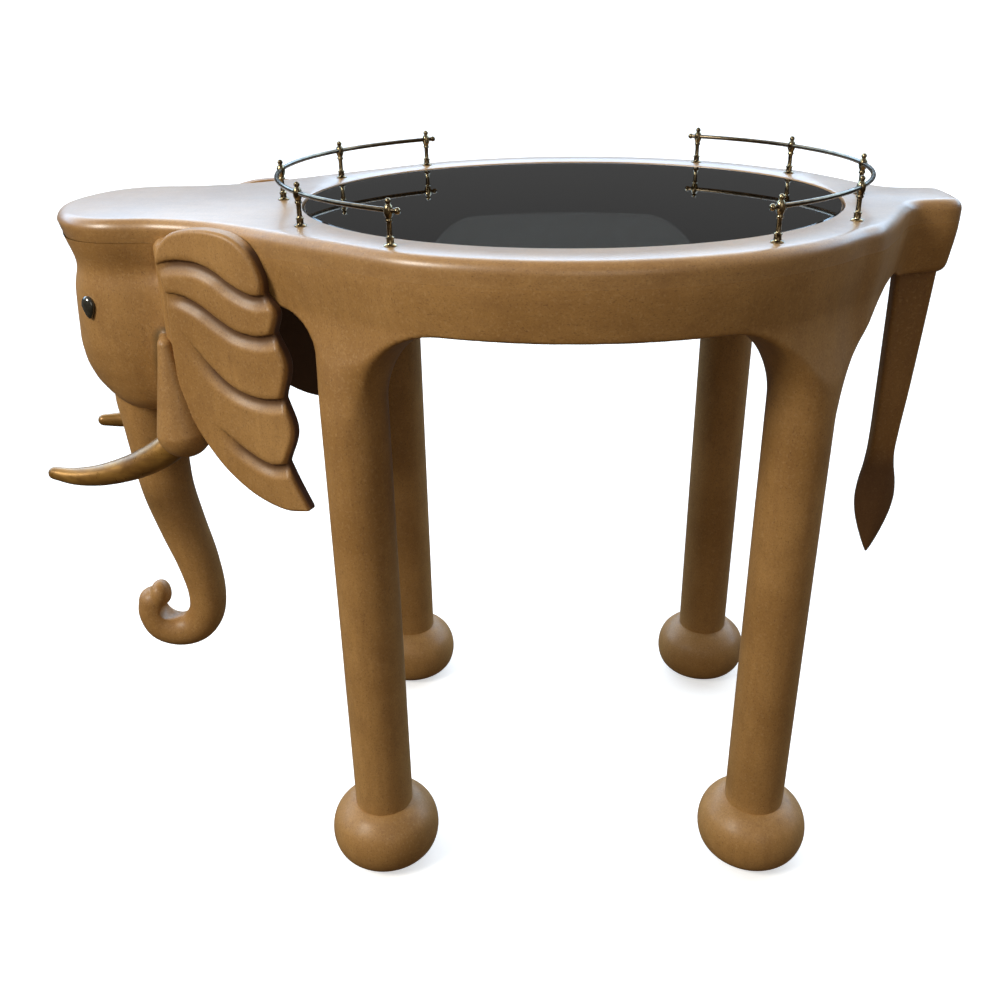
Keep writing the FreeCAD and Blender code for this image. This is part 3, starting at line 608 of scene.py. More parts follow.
def gilded():
    """Aged gold paint over carved wood, streaked brown."""
    m = Material("aged_gold")
    clouds = m.noise(28.0, 4.0, 0.6)
    colour = m.ramp(clouds, (0.30, (0.170, 0.080, 0.016)), (0.70, (0.370, 0.200, 0.045)))
    streaks = m.noise(170.0, 3.0, 0.6, (0.15, 1, 1))
    colour = m.mix(m.ramp(streaks, (0.45, 0.0), (0.75, 0.60)), colour, (0.130, 0.060, 0.014))
    m.colour(colour)
    m.roughness(m.ramp(m.noise(90.0, 3.0), (0.3, 0.26), (0.7, 0.42)))
    m.bump((streaks, 0.10, 0.0006))
    m.set(Metallic=0.45, Coat_Weight=0.3, Coat_Roughness=0.22)
    return m.material


def plain_finish(name, colours, rough=(), bump=(), **settings):
    """A finish from a noise and its colour stops, and perhaps a noise and stops for roughness."""
    m = Material(name)
    source = m.noise(*colours[0])
    m.colour(m.ramp(source, *colours[1:]))
    if rough:
        m.roughness(m.ramp(m.noise(*rough[0]), *rough[1:]))
    if bump:
        m.bump((source, *bump))
    return m.set(**settings).material


WOOD_LONG = lacquered_wood("carved_wood_long_grain", 0)
WOOD_TALL = lacquered_wood("carved_wood_upright_grain", 2)
TOP_WOOD = lacquered_wood("carved_wood_top", 0, coat=1.0)
TAIL_WOOD = lacquered_wood("carved_wood_tail", 2, (0.78, 0.74, 0.68))
GOLD = gilded()
BRASS = plain_finish(
    "tarnished_brass", ((120.0, 4.0, 0.65), (0.34, (0.40, 0.34, 0.21)), (0.60, (0.10, 0.075, 0.045))),
    ((300.0, 3.0), (0.3, 0.12), (0.7, 0.26)), Metallic=1.0,
)
DARK_BRASS = plain_finish(
    "dark_brass", ((70.0, 4.0, 0.65), (0.35, (0.17, 0.14, 0.095)), (0.65, (0.060, 0.048, 0.034))),
    ((260.0, 3.0), (0.3, 0.14), (0.7, 0.26)), Metallic=1.0,
)
# The noise in its roughness is the dust that lies on a table.
SMOKED_GLASS = plain_finish(
    "smoked_glass", ((9.0, 2.0), (0.3, (0.030, 0.032, 0.030)), (0.7, (0.034, 0.036, 0.034))),
    ((40.0, 3.0), (0.45, 0.0), (0.8, 0.02)), IOR=1.5, Transmission_Weight=1.0,
)
EYE_GLASS = plain_finish(
    "eye_glass", ((200.0, 2.0), (0.3, (0.012, 0.014, 0.012)), (0.7, (0.035, 0.036, 0.030))),
    ((300.0, 2.0), (0.3, 0.04), (0.7, 0.10)), IOR=1.55, Coat_Weight=1.0, Coat_Roughness=0.03,
)


# ---- outline of the top

def oval_half_width(x):
    return OVAL_WIDE * math.sqrt(1 - ((x - OVAL_X) / OVAL_LONG) ** 2)


def outline():
    """From the brow round the far side to the end of the tail bracket, and back by the near side."""
    brow = [(FACE, 0), (-480, 48), (-456, 84), (-418, 103), (NECK_PLANE, 106)]
    neck = [(-310, 120), (CHEST_PLANE, 147), (FRONT_CUT, 176), (-165, 217)]
    oval = [(x, oval_half_width(x)) for x in (-90, -40, 20, 75, 130, 190, 240, 285, 320, 348)]
    rump = [(370, 168), (386, 144), (404, 112), (422, 76), (435, 55), (448, 46.5), (482, 42), (494, 35)]
    half = brow + neck + oval + rump + [(TAIL_END, 20)]
    mirrored = [(x, -y) for x, y in half[:0:-1]]
    return spaced(curve_through(half + mirrored, 10, closed=True), 4.0)


OUTLINE = outline()
PLAN = Field2D(-560, 560, -12, 345, 3.0, lambda x, y: outline_distance(x, np.abs(y), OUTLINE))


def plan(x, y):
    return PLAN(x, np.abs(y))


INSET_LEVELS = (480, 770)
BODY_INSET = profile(
    [(500, 12), (600, 10), (650, 8), (686, 6.0), (700, 3.8), (715, 1.6), (727, 0.3), (734, 0), (770, 0)],
    *INSET_LEVELS, 5,
)
SIDE_INSET = profile(
    [(500, 34), (545, 27), (563, 22), (588, 15), (613, 10.5), (649, 8), (678, 8), (690, 9), (700, 10.8),
     (712, 9.2), (722, 5.5), (736, 2), (748, 0), (770, 0)],
    *INSET_LEVELS, 12,
)
FRONT_INSET = profile(
    [(500, 38), (545, 20), (563, 11), (588, 4), (613, 2), (649, 4.5), (678, 7), (690, 11), (700, 14.5),
     (712, 13.5), (725, 9), (738, 4), (750, 0), (770, 0)],
    *INSET_LEVELS, 12,
)


def inset(x, z):
    """How far the carved side stands in from the plan outline."""
    head = smoothstep(-x, -CHEST_PLANE + 10, -NECK_PLANE - 12)
    front = smoothstep(-x, 436, 490)
    on_head = (1 - front) * SIDE_INSET(z) + front * FRONT_INSET(z)
    return (1 - head) * BODY_INSET(z) + head * on_head


# ---- the carved body

def capsule(x, y, z, start, end, radius_start, radius_end):
    """Distance to a round bar that tapers from one end to the other."""
    start, end = np.array(start, float), np.array(end, float)
    way = end - start
    px, py, pz = x - start[0], y - start[1], z - start[2]
    t = np.clip((px * way[0] + py * way[1] + pz * way[2]) / np.dot(way, way), 0, 1)
    gap = np.sqrt((px - t * way[0]) ** 2 + (py - t * way[1]) ** 2 + (pz - t * way[2]) ** 2)
    return gap - radius_start - t * (radius_end - radius_start)


def ellipsoid(x, y, z, centre, radii):
    qx, qy, qz = (x - centre[0]) / radii[0], (y - centre[1]) / radii[1], (z - centre[2]) / radii[2]
    q = np.sqrt(qx * qx + qy * qy + qz * qz) + 1e-6
    lean = np.sqrt((qx / radii[0]) ** 2 + (qy / radii[1]) ** 2 + (qz / radii[2]) ** 2) + 1e-6
    return (q - 1) * q / lean


CHEEK_LOW, CHEEK_HIGH = (-354.0, 117.0, 532.5), (-361.0, 117.0, 630.0)
CHEEK_RADIUS, CHEEK_TIP = 30.0, 7.5
# How far the head's own swelling stays inside the separate cheek.
CHEEK_SINK = 0.4


def cheek_field(x, y, z, spare=0.0):
    """The tear-shaped swelling that the tusk stands in, less some spare all round."""
    return capsule(x, np.abs(y), z, CHEEK_LOW, CHEEK_HIGH, CHEEK_RADIUS - spare, CHEEK_TIP - spare)


EYE = (-449.5, 86.5, 665.0)
EYE_SOCKET = (14.5, 10, 17)
TRUNK_LINE = (
    (-431, 528, 37), (-429, 500, 36), (-428, 470, 34.5), (-425, 410, 31.5), (-414, 355, 29),
    (-402, 305, 26.5), (-396, 256, 24), (-401, 224, 23), (-417, 203, 22.5), (-440, 197, 22.5),
    (-461, 205, 22.5), (-470, 224, 21), (-469, 241, 19.5),
)


HEAD_ROUND, CHIN_ROUND = 8, 26
TRUNK_FILLET, CHEEK_FILLET, FINE_ROUND = 7, 30, 2.5


def head_field(x, y, z):
    side = plan(x, y) + inset(x, z)
    head = round_max(side, x - NECK_PLANE + 2, HEAD_ROUND)
    head = round_max(head, CHIN - z, CHIN_ROUND)
    root_x, _, root_radius = TRUNK_LINE[0]
    root = np.maximum(np.hypot(x - root_x, y) - root_radius, z - CHIN - 60)
    head = round_min(head, root, TRUNK_FILLET)
    head = round_min(head, cheek_field(x, y, z, CHEEK_SINK), CHEEK_FILLET)
    socket = ellipsoid(x, np.abs(y), z, (EYE[0] - 3, EYE[1] + 7, EYE[2]), EYE_SOCKET)
    return round_max(head, -socket, FINE_ROUND)


JOWL_PLANE, JOWL_LOW, JOWL_SPREAD = -334.0, 545.0, 7.0


def jaw_field(x, y, z):
    """The head with its back corners spread to meet the ears under the neck."""
    spread = JOWL_SPREAD * smoothstep(x, -405, JOWL_PLANE - 4) * smoothstep(-z, -712, -688)
    jowl = round_max(plan(x, y) + inset(x, z) - spread, x - JOWL_PLANE, HEAD_ROUND)
    jowl = round_max(jowl, JOWL_LOW - z, CHIN_ROUND)
    return round_min(head_field(x, y, z), jowl, 4)


def head_and_body_field(x, y, z):
    return np.minimum(body_field(x, y, z), jaw_field(x, y, z))


CAVITY_ROUND, RUMP_DROP, HAUNCH_TURN, HAUNCH_OUT = 14, 6, 22, 32


def body_field(x, y, z):
    """The hollow oval body with its four legs, swept out into haunches where they join."""
    edge = plan(x, y)
    side = edge + inset(x, z)
    cavity = round_max(round_max(edge + WALL, FRONT_CUT - x, CAVITY_ROUND), x - REAR_CUT, CAVITY_ROUND)
    bottom = APRON - RUMP_DROP * smoothstep(x, RUMP_PLANE - 8, RUMP_PLANE + 4)
    soft = 3.5 + 8 * smoothstep(x, RUMP_PLANE, TAIL_END)
    ring = round_max(np.maximum(side, -cavity), bottom - z, soft)
    leg_radius = LEG_LOW + (LEG_HIGH - LEG_LOW) * (z - LEG_FOOT) / (APRON - LEG_FOOT)
    leg = np.hypot(np.abs(x - OVAL_X) - LEG_X, np.abs(y) - LEG_Y) - leg_radius
    to_chest = smoothstep(-x, LEG_X - OVAL_X - HAUNCH_TURN, LEG_X - OVAL_X + HAUNCH_TURN)
    to_rump = smoothstep(x, LEG_X + OVAL_X - HAUNCH_TURN, LEG_X + OVAL_X + HAUNCH_TURN)
    sweep = HAUNCH + (CHEST_HAUNCH - HAUNCH) * to_chest + (RUMP_HAUNCH - HAUNCH) * to_rump
    joined = round_min(ring, leg, sweep)
    free = HAUNCH_OUT * smoothstep(-z, -692, -540)
    edge_round = 3 + 11 * smoothstep(-z, -686, -600)
    joined = np.minimum(ring, round_max(joined, side - free, edge_round))
    return np.maximum(joined, NECK_PLANE - 16 - x)


def carcass_field(x, y, z):
    body = body_field(x, y, z)
    if np.min(x) < NECK_PLANE + 30:
        body = np.minimum(body, head_field(x, y, z))
    return body


def beyond(x=None, y=None, z=None, side=1):
    """A cutting plane at one coordinate; side says which side is taken away."""
    point = (x or 0, y or 0, z or 0)
    normal = tuple(side if value is not None else 0 for value in (x, y, z))
    return point, normal


def between(x_from, x_to):
    return [beyond(x=x_from, side=-1), beyond(x=x_to)]


TOP_CUT = beyond(z=BOARD)
LEG_CUT = beyond(z=LEG_FOOT, side=-1)


def carve_body():
    deep = APRON - RUMP_HAUNCH - MARGIN
    spans = (
        ("chest_rail", CHEST_PLANE, FRONT_CUT),
        ("rump_rail", REAR_CUT, RUMP_PLANE),
        ("neck_block", NECK_PLANE, CHEST_PLANE),
    )
    half = 230
    for name, x_from, x_to in spans:
        low = (x_from - MARGIN, -half, deep)
        high = (x_to + MARGIN, half, BOARD + MARGIN)
        cuts = between(x_from, x_to) + [TOP_CUT]
        piece = carve(f"{name}_carved", carcass_field, low, high, BODY_STEP, cuts, WOOD_LONG)
        settle_in(piece, name)
    for side_name, side in SIDES.items():
        middle = beyond(y=0, side=-side)
        y_low, y_high = sorted((side * -MARGIN, side * (OVAL_WIDE + MARGIN)))
        for name, x_from, x_to, z_from, floor_cut, wood in (
            ("apron", APRON_FROM, APRON_TO, deep, [], WOOD_LONG),
            ("leg_front", FRONT_CUT, APRON_FROM, LEG_FOOT - MARGIN, [LEG_CUT], WOOD_TALL),
            ("leg_rear", APRON_TO, REAR_CUT, LEG_FOOT - MARGIN, [LEG_CUT], WOOD_TALL),
        ):
            low = (x_from - MARGIN, y_low, z_from)
            high = (x_to + MARGIN, y_high, BOARD + MARGIN)
            cuts = between(x_from, x_to) + [TOP_CUT, middle] + floor_cut
            piece = carve(f"{name}_{side_name}_carved", carcass_field, low, high, BODY_STEP, cuts, wood)
            settle_in(piece, f"{name}_{side_name}")


def carve_head():
    low = (FACE - MARGIN, -150, TRUNK_TOP - MARGIN)
    high = (NECK_PLANE + MARGIN, 150, BOARD + MARGIN)
    cuts = [beyond(x=NECK_PLANE), TOP_CUT, beyond(z=TRUNK_TOP, side=-1)]
    head = carve("head_carved", head_and_body_field, low, high, HEAD_STEP, cuts, WOOD_TALL)
    jowl_top = APRON - 3
    low = (NECK_PLANE - MARGIN, -160, CHIN - 40)
    high = (JOWL_PLANE + 18, 160, jowl_top + MARGIN)
    cuts = [beyond(x=NECK_PLANE, side=-1), beyond(z=jowl_top)]
    jowls = carve("head_jowls", jaw_field, low, high, HEAD_STEP, cuts, WOOD_TALL)
    settle_in(join([head, jowls]), "head_block")
    for side_name, side in SIDES.items():
        y_low, y_high = sorted((side * 75, side * 150))
        low, high = (-395, y_low, 495), (-320, y_high, 650)
        piece = carve(f"cheek_{side_name}_carved", cheek_field, low, high, CHEEK_STEP, (), WOOD_TALL)
        settle_in(piece, f"cheek_{side_name}")


TRUNK_PATH = curve_through(TRUNK_LINE, 9)


def trunk_field(x, y, z):
    best = np.full(np.broadcast(x, y, z).shape, 1e9)
    for (ax, az, ar), (bx, bz, br) in zip(TRUNK_PATH, TRUNK_PATH[1:]):
        best = np.minimum(best, capsule(x, y, z, (ax, 0, az), (bx, 0, bz), ar, br))
    lip = ellipsoid(x, y, z, (-458, 0, 252), (13, 18, 19))
    best = round_min(best, lip, FINE_ROUND)
    curl = ellipsoid(x, y, z, (-446, 0, 229), (15, 26, 11.5))
    return round_max(best, -curl, FINE_ROUND)


def carve_trunk():
    low, high = (-500, -48, 165), (-355, 48, TRUNK_TOP + MARGIN)
    piece = carve("trunk_carved", trunk_field, low, high, HEAD_STEP, [beyond(z=TRUNK_TOP)], WOOD_TALL)
    settle_in(piece, "trunk")


# ---- the top boards

# The painted highlight line round the top's roundover: how far under the top, half its width, its strength.
HIGHLIGHT_UNDER, HIGHLIGHT_HALF, HIGHLIGHT_STRENGTH = 2.5, 3.5, -0.12


def board_mesh():
    """The whole top in one, with its rebate and opening, before it is cut into boards."""
    after = np.roll(OUTLINE, -1, axis=0) - np.roll(OUTLINE, 1, axis=0)
    outward = np.stack([after[:, 1], -after[:, 0]], axis=1)
    outward /= np.linalg.norm(outward, axis=1, keepdims=True)
    if np.dot(outward[0], OUTLINE[0] - OUTLINE.mean(0)) < 0:
        outward = -outward
    rows = [(None, BOARD), (None, BOARD + 4), (None, BOARD + 8), (None, TOP - ROUNDOVER)]
    for c, s in quarter_round(8):
        rows.append((ROUNDOVER * (1 - c), TOP - ROUNDOVER + ROUNDOVER * s))
    outer = []
    for back, level in rows:
        amount = inset(OUTLINE[:, 0], level) if back is None else back
        ring = OUTLINE - outward * np.reshape(amount * np.ones(len(OUTLINE)), (-1, 1))
        outer.append(np.column_stack([ring, np.full(len(ring), level)]))
    count = 240
    inner_rows = (
        (REBATE, 1.5, TOP), (REBATE, 0.45, TOP - 0.45), (REBATE, 0.0, TOP - 1.5), (REBATE, 0.0, LEDGE),
        (OPENING, 0.0, LEDGE), (OPENING, 0.0, BOARD),
    )
    inner = [
        circle(radii[0] + more, radii[1] + more, level, count, (OVAL_X, 0)) for radii, more, level in inner_rows
    ]
    shape = bmesh.new()

    def band(rings, smooth):
        verts = [[shape.verts.new(p) for p in ring] for ring in rings]
        for low, high in zip(verts, verts[1:]):
            for i in range(len(low)):
                j = (i + 1) % len(low)
                face = shape.faces.new((low[i], low[j], high[j], high[i]))
                face.smooth = smooth
        return verts

    outside = band(outer, True)
    inside = band(inner, True)
    for first, second in ((outside[-1], inside[0]), (outside[0], inside[-1])):
        edges = []
        for loop in (first, second):
            for i, vert in enumerate(loop):
                edges.append(shape.edges.get((vert, loop[(i + 1) % len(loop)])))
        up = 1 if first[0].co.z > BOARD + 1 else -1
        bmesh.ops.triangle_fill(shape, edges=edges, use_beauty=True, normal=(0, 0, up))
    bmesh.ops.recalc_face_normals(shape, faces=shape.faces)
    return shape


def cut_board(shape, name, x_from, x_to):
    part = shape.copy()
    cut_flat(part, between(x_from, x_to))
    mesh = bpy.data.meshes.new(name)
    part.to_mesh(mesh)
    part.free()
    where = vertex_places(mesh)
    # A painted highlight band round the top, written below 0 in the hollow attribute.
    top_edge_highlight = np.where(np.abs(where[:, 2] - TOP + HIGHLIGHT_UNDER) < HIGHLIGHT_HALF, HIGHLIGHT_STRENGTH, 0.0)
    note(mesh, "hollow", top_edge_highlight)
    mesh.vertices.foreach_set("co", to_row(where).ravel())
    mesh.update()
    mesh.set_sharp_from_angle(angle=math.radians(30))
    return add_piece(name, mesh, TOP_WOOD)


def join(pieces):
    with bpy.context.temp_override(active_object=pieces[0], selected_editable_objects=pieces, object=pieces[0]):
        bpy.ops.object.join()
    return pieces[0]


def make_boards():
    whole = board_mesh()
    far_out = 600
    settle_in(cut_board(whole, "neck_board_rounded", -far_out, FRONT_CUT), "neck_board")
    settle_in(cut_board(whole, "top_ring_rounded", FRONT_CUT, REAR_CUT), "top_ring")
    board = cut_board(whole, "tail_bracket_rounded", REAR_CUT, far_out)
    whole.free()
    low = (RUMP_PLANE - MARGIN, -90, TAIL_TOP - MARGIN)
    high = (TAIL_END + MARGIN, 90, BOARD + MARGIN)
    cuts = [beyond(x=RUMP_PLANE, side=-1), TOP_CUT]
    block = carve("tail_bracket_block", body_field, low, high, HEAD_STEP, cuts, WOOD_LONG)
    settle_in(join([board, block]), "tail_bracket")


# ---- ears

EAR_ROOT = (-352.0, 108.5)
EAR_SPLAY = math.radians(25)
EAR_THICK = 17.5
# The web from the ear's front edge to the head, as the ends and radius of a bead.
EAR_SEAM = ((3.0, -4.0, 566.0), (3.0, -4.0, 730.0), 13.0, 13.0)
EAR_MAP = (-16, 190, 440, 785)
EAR_FRONT = (
    (10, 562), (9, 642), (10, 690), (3, 724), (22, 749), (45, 757), (76, 759), (103, 754), (122, 740),
    (134, 715), (134, 700),
)
EAR_LOBES = (
    ((134, 700), (147, 683), (141, 661)), ((141, 661), (154, 630), (144, 592)),
    ((144, 592), (154, 557), (140, 519)), ((140, 519), (150, 497), (165, 468)),
)
EAR_LOWER = ((165, 468), (136, 464), (98, 474), (62, 498), (37, 527), (18, 556), (10, 562))
# The lower edge of each overlapping lobe, top lobe first, and where along it the step begins.
LOBE_EDGES = (
    (-12, ((-20, 706), (7, 720), (28, 725), (55, 725), (78, 718), (97, 707), (119, 699), (134, 700), (170, 714))),
    (0, ((-20, 684), (10, 690), (32, 689), (55, 681), (78, 668), (98, 659), (124, 657), (141, 661), (170, 672))),
    (22, ((-20, 672), (8, 666), (26, 653), (39, 637), (61, 614), (85, 597), (112, 590), (140, 592), (170, 604))),
    (48, ((-20, 676), (10, 648), (22, 600), (44, 562), (69, 542), (94, 526), (121, 516), (140, 519), (170, 530))),
)
LOBE_STEP = 5.6
LOBE_RISE = 17.0


def ear_outline():
    return np.concatenate([curve_through(run, 8)[:-1] for run in (EAR_FRONT, *EAR_LOBES, EAR_LOWER)])


def ear_relief(u, z):
    """Height of the carved face: each lobe rises from the groove under its neighbour and rolls over below."""
    height = np.full(u.shape, EAR_THICK)
    above_all = np.full(u.shape, True)
    for begins, points in LOBE_EDGES:
        edge = curve_through(points, 6)
        level = np.interp(u, edge[:, 0], edge[:, 1])
        away = line_distance(u, z, edge, closed=False)
        below = z < level
        strength = smoothstep(u, begins, begins + 40)
        groove = LOBE_STEP * strength * (1 - smoothstep(away, 4.0, LOBE_RISE))
        roll = 2.2 * strength * np.clip(1 - away / 7, 0, 1) ** 2
        height = np.where(below, EAR_THICK - groove, np.where(above_all & (away < 40), height - roll, height))
        above_all = below
    return height


def ear_painted_shade(p, face):
    """Painted shade on the back and the rim, and in the grooves under the lobes."""
    back = 1 - smoothstep(p[:, 1], 8.0, 14.0)
    back *= (1 - smoothstep(p[:, 2], 738, 750)) * smoothstep(p[:, 0], 6, 22)
    depth = np.clip((EAR_THICK - face(p[:, 0], p[:, 2])) / LOBE_STEP, 0, 1)
    return np.maximum(back, 0.85 * depth ** 2.2)


def make_ears():
    edge = ear_outline()
    flat_shape = Field2D(*EAR_MAP, 1.5, lambda u, z: outline_distance(u, z, edge)).soften(1)
    face = Field2D(*EAR_MAP, 1.0, ear_relief).soften(2)

    def ear_field(u, n, z):
        rim = flat_shape(u, z)
        carved = round_max(rim, n - face(u, z), 4.5)
        carved = round_max(carved, -n, 3.0)
        return round_min(carved, capsule(u, n, z, *EAR_SEAM), 7.0)

    for side_name, side in SIDES.items():
        def place(p, side=side):
            along = p[:, 0] * math.cos(EAR_SPLAY) - p[:, 1] * math.sin(EAR_SPLAY)
            out = p[:, 0] * math.sin(EAR_SPLAY) + p[:, 1] * math.cos(EAR_SPLAY)
            return np.stack([EAR_ROOT[0] + along, side * (EAR_ROOT[1] + out), p[:, 2]], axis=1)

        # The ear carries painted shade on its back, rim and grooves.
        piece = carve(
            f"ear_{side_name}_carved", ear_field, (-20, -26, 448), (178, 30, 777), EAR_STEP, (), WOOD_TALL,
            place, lambda p: ear_painted_shade(p, face),
        )
        settle_in(piece, f"ear_{side_name}")


# ---- tusks, eyes, feet, tail

TUSK_LINE = (
    ((-362, 103, 519), 17.5), ((-388, 104, 500), 17), ((-416, 102, 485), 15.5), ((-444, 98, 474.5), 13.8),
    ((-471, 94, 467.5), 12), ((-499, 89, 464.5), 10), ((-524.5, 83, 466), 7.5),
)


def make_tusks():
    stations = np.array([(*place, radius) for place, radius in TUSK_LINE])
    run = curve_through(stations, 8)
    for side_name, side in SIDES.items():
        line = run[:, :3] * np.array([1, side, 1])
        rings, way = tube_rings(line, run[:, 3], 28)
        tip, centre, radius = way[-1], line[-1], run[-1, 3]
        last = rings[-1]
        for c, s in quarter_round(6):
            rings.append((last - centre) * max(c, 0.02) + centre + tip * radius * s)
        piece = skinned(f"tusk_{side_name}_gilded", rings, GOLD, 60)
        settle_in(piece, f"tusk_{side_name}")


EYE_TURN = math.radians(62)
EYE_HIGH, EYE_WIDE, EYE_DOME = 13.0, 9.0, 5.0


def make_eyes():
    """Tear-shaped glass domes, broad above and pointed below."""
    angles = np.arange(40) / 40 * 2 * math.pi
    narrow = 1 - 0.34 * np.clip(-np.sin(angles), 0, 1) ** 0.8
    flat = np.where(np.sin(angles) > 0, 0.82, 1.12)
    rim = np.stack([EYE_WIDE * np.cos(angles) * narrow, EYE_HIGH * np.sin(angles) * flat], axis=1)
    rows = [(0.96, -3.5), (1.0, 0.0)] + [(max(c, 0.01), EYE_DOME * s) for c, s in quarter_round(8)]
    for side_name, side in SIDES.items():
        out = np.array([-math.cos(EYE_TURN), side * math.sin(EYE_TURN), 0.0])
        across = np.array([math.sin(EYE_TURN), side * math.cos(EYE_TURN), 0.0])
        middle = np.array([EYE[0], side * EYE[1], EYE[2]]) - out * 2.5
        rings = []
        for size, height in rows:
            ring = rim * size
            rings.append(middle + ring[:, :1] * across + ring[:, 1:] * np.array([0, 0, 1.0]) + out * height)
        piece = skinned(f"eye_{side_name}_glass", rings, EYE_GLASS, 50)
        settle_in(piece, f"eye_{side_name}")


# radius, level
FOOT_SIDE = (
    (49, 4), (55, 8.5), (60.5, 16), (64, 27), (64.8, 38), (63, 50), (58.5, 60.5), (51, 69), (44, 74.5),
    (36.5, 78),
)


def darken_below(mesh, strength, begins, full):
    """Darkens a piece from one level down to another: a dark stain on the tail's tassel, and the feet darker
    towards the bottom.
    """
    levels = vertex_places(mesh)[:, 2] / MM
    note(mesh, "stain_and_shade", strength * smoothstep(-levels, -begins, -full))


def make_feet():
    rows = [(0.5, FOOT_SIDE[0][1]), *curve_through(FOOT_SIDE, 6), (0.5, LEG_FOOT)]
    for end_name, end in (("front", -1), ("rear", 1)):
        for side_name, side in SIDES.items():
            centre = (OVAL_X + end * LEG_X, side * LEG_Y)
            piece = lathe(f"foot_{end_name}_{side_name}_turned", rows, centre, 0, WOOD_TALL, 72, 50)
            darken_below(piece.data, 0.75, 17, 5)
            settle_in(piece, f"foot_{end_name}_{side_name}")


TAIL_X = 467.0
TAIL_STATIONS = (
    # level, middle, half width, half thickness, squareness
    (680, 0.0, 23.2, 13.0, 5.0), (640, -0.6, 21.6, 12.8, 5.0), (590, -1.6, 19.8, 12.4, 5.0),
    (530, -3.0, 17.6, 12.0, 4.8), (480, -4.6, 15.6, 11.6, 4.2), (451, -5.4, 15.8, 11.2, 3.4),
    (432, -5.2, 18.6, 11.2, 2.4), (412, -4.8, 22.8, 11.4, 1.9), (391, -4.5, 24.6, 11.2, 1.7),
    (370, -4.4, 22.2, 10.2, 1.6), (350, -4.2, 16.8, 8.6, 1.6), (332, -4.0, 10.4, 6.4, 1.7),
    (319, -4.0, 5.0, 4.0, 1.9), (311, -4.0, 1.2, 1.2, 2.0),
)


def make_tail():
    run = curve_through(TAIL_STATIONS, 6)
    angles = (np.arange(48) + 0.5) / 48 * 2 * math.pi
    rings = []
    for level, middle, wide, thick, power in run:
        c, s = np.cos(angles), np.sin(angles)
        x = np.sign(c) * np.abs(c) ** (2 / power)
        y = np.sign(s) * np.abs(s) ** (2 / power)
        rings.append(np.stack([TAIL_X + middle + wide * x, thick * y, 0 * x + level], axis=1))
    piece = skinned("tail_carved", rings, TAIL_WOOD, 48)
    darken_below(piece.data, 0.72, 470, 425)
    settle_in(piece, "tail")


# ---- glass and galleries

def make_glass():
    rows = ((-1.2, GLASS_LOW), (0.0, GLASS_LOW + 1.2), (0.0, GLASS_HIGH - 1.6), (-1.6, GLASS_HIGH))
    rings = [circle(GLASS[0] + more, GLASS[1] + more, level, 240, (OVAL_X, 0)) for more, level in rows]
    settle_in(skinned("glass_bevelled", rings, SMOKED_GLASS, 20), "glass_insert", "glass")


# radius, height over the top
POST_ROWS = (
    (0.05, 0), (6.3, 0), (6.3, 0.9), (5.4, 1.6), (3.9, 2.2), (3.5, 3.0), (3.5, 6.4), (4.1, 7.0), (4.1, 7.9),
    (3.0, 8.6), (2.5, 10), (2.4, 16), (2.5, 21.3), (3.5, 22.1), (3.6, 22.9), (3.4, 23.7), (2.9, 24.5),
    (3.0, 25.5), (3.8, 27.0), (4.4, 29.2), (4.6, 31.8), (4.3, 34.0), (3.6, 36.0), (2.7, 37.1), (2.3, 37.8),
    (2.5, 38.5), (2.9, 39.4), (2.9, 40.4), (2.5, 41.6), (1.7, 42.6), (0.05, 43),
)


def make_gallery():
    """Five turned posts at each end, a rod bent to the oval, and a round knob on each rod end."""
    knob_points = []
    for end_name, middle in (("front", 180), ("rear", 0)):
        for number in range(1, 6):
            node = f"gallery_post_{end_name}_{number}"
            low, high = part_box(node)
            centre = ((low[0] + high[0]) / 2 / MM - SHIFT, (low[1] + high[1]) / 2 / MM)
            settle_in(lathe(f"{node}_turned", POST_ROWS, centre, TOP, BRASS, 28, 40), node)
        line = []
        for k in range(61):
            turn = math.radians(middle - RAIL_HALF + 2 * RAIL_HALF * k / 60)
            line.append((OVAL_X + RAIL_LONG * math.cos(turn), RAIL_WIDE * math.sin(turn), RAIL_LEVEL))
        rings, _ = tube_rings(line, [RAIL_RADIUS] * len(line), 20)
        node = f"gallery_rail_{end_name}"
        settle_in(skinned(f"{node}_rod", rings, DARK_BRASS, 60), node)
        knob_points += [line[0], line[-1]]
    rows = []
    for k in range(13):
        turn = math.pi * k / 12
        rows.append((max(KNOB_RADIUS * math.sin(turn), 0.02), -KNOB_RADIUS * math.cos(turn)))
    points, faces = [], []
    for x, y, level in knob_points:
        knob, knob_faces = skin([circle(r, r, level + h, 20, (x, y)) for r, h in rows])
        start = len(knob) * len(points)
        faces += [tuple(start + i for i in face) for face in knob_faces]
        points.append(knob)
    piece = add_piece("rail_knobs_round", smooth_mesh("knobs", np.concatenate(points), faces, 60), BRASS)
    settle_in(piece, "rail_knobs")


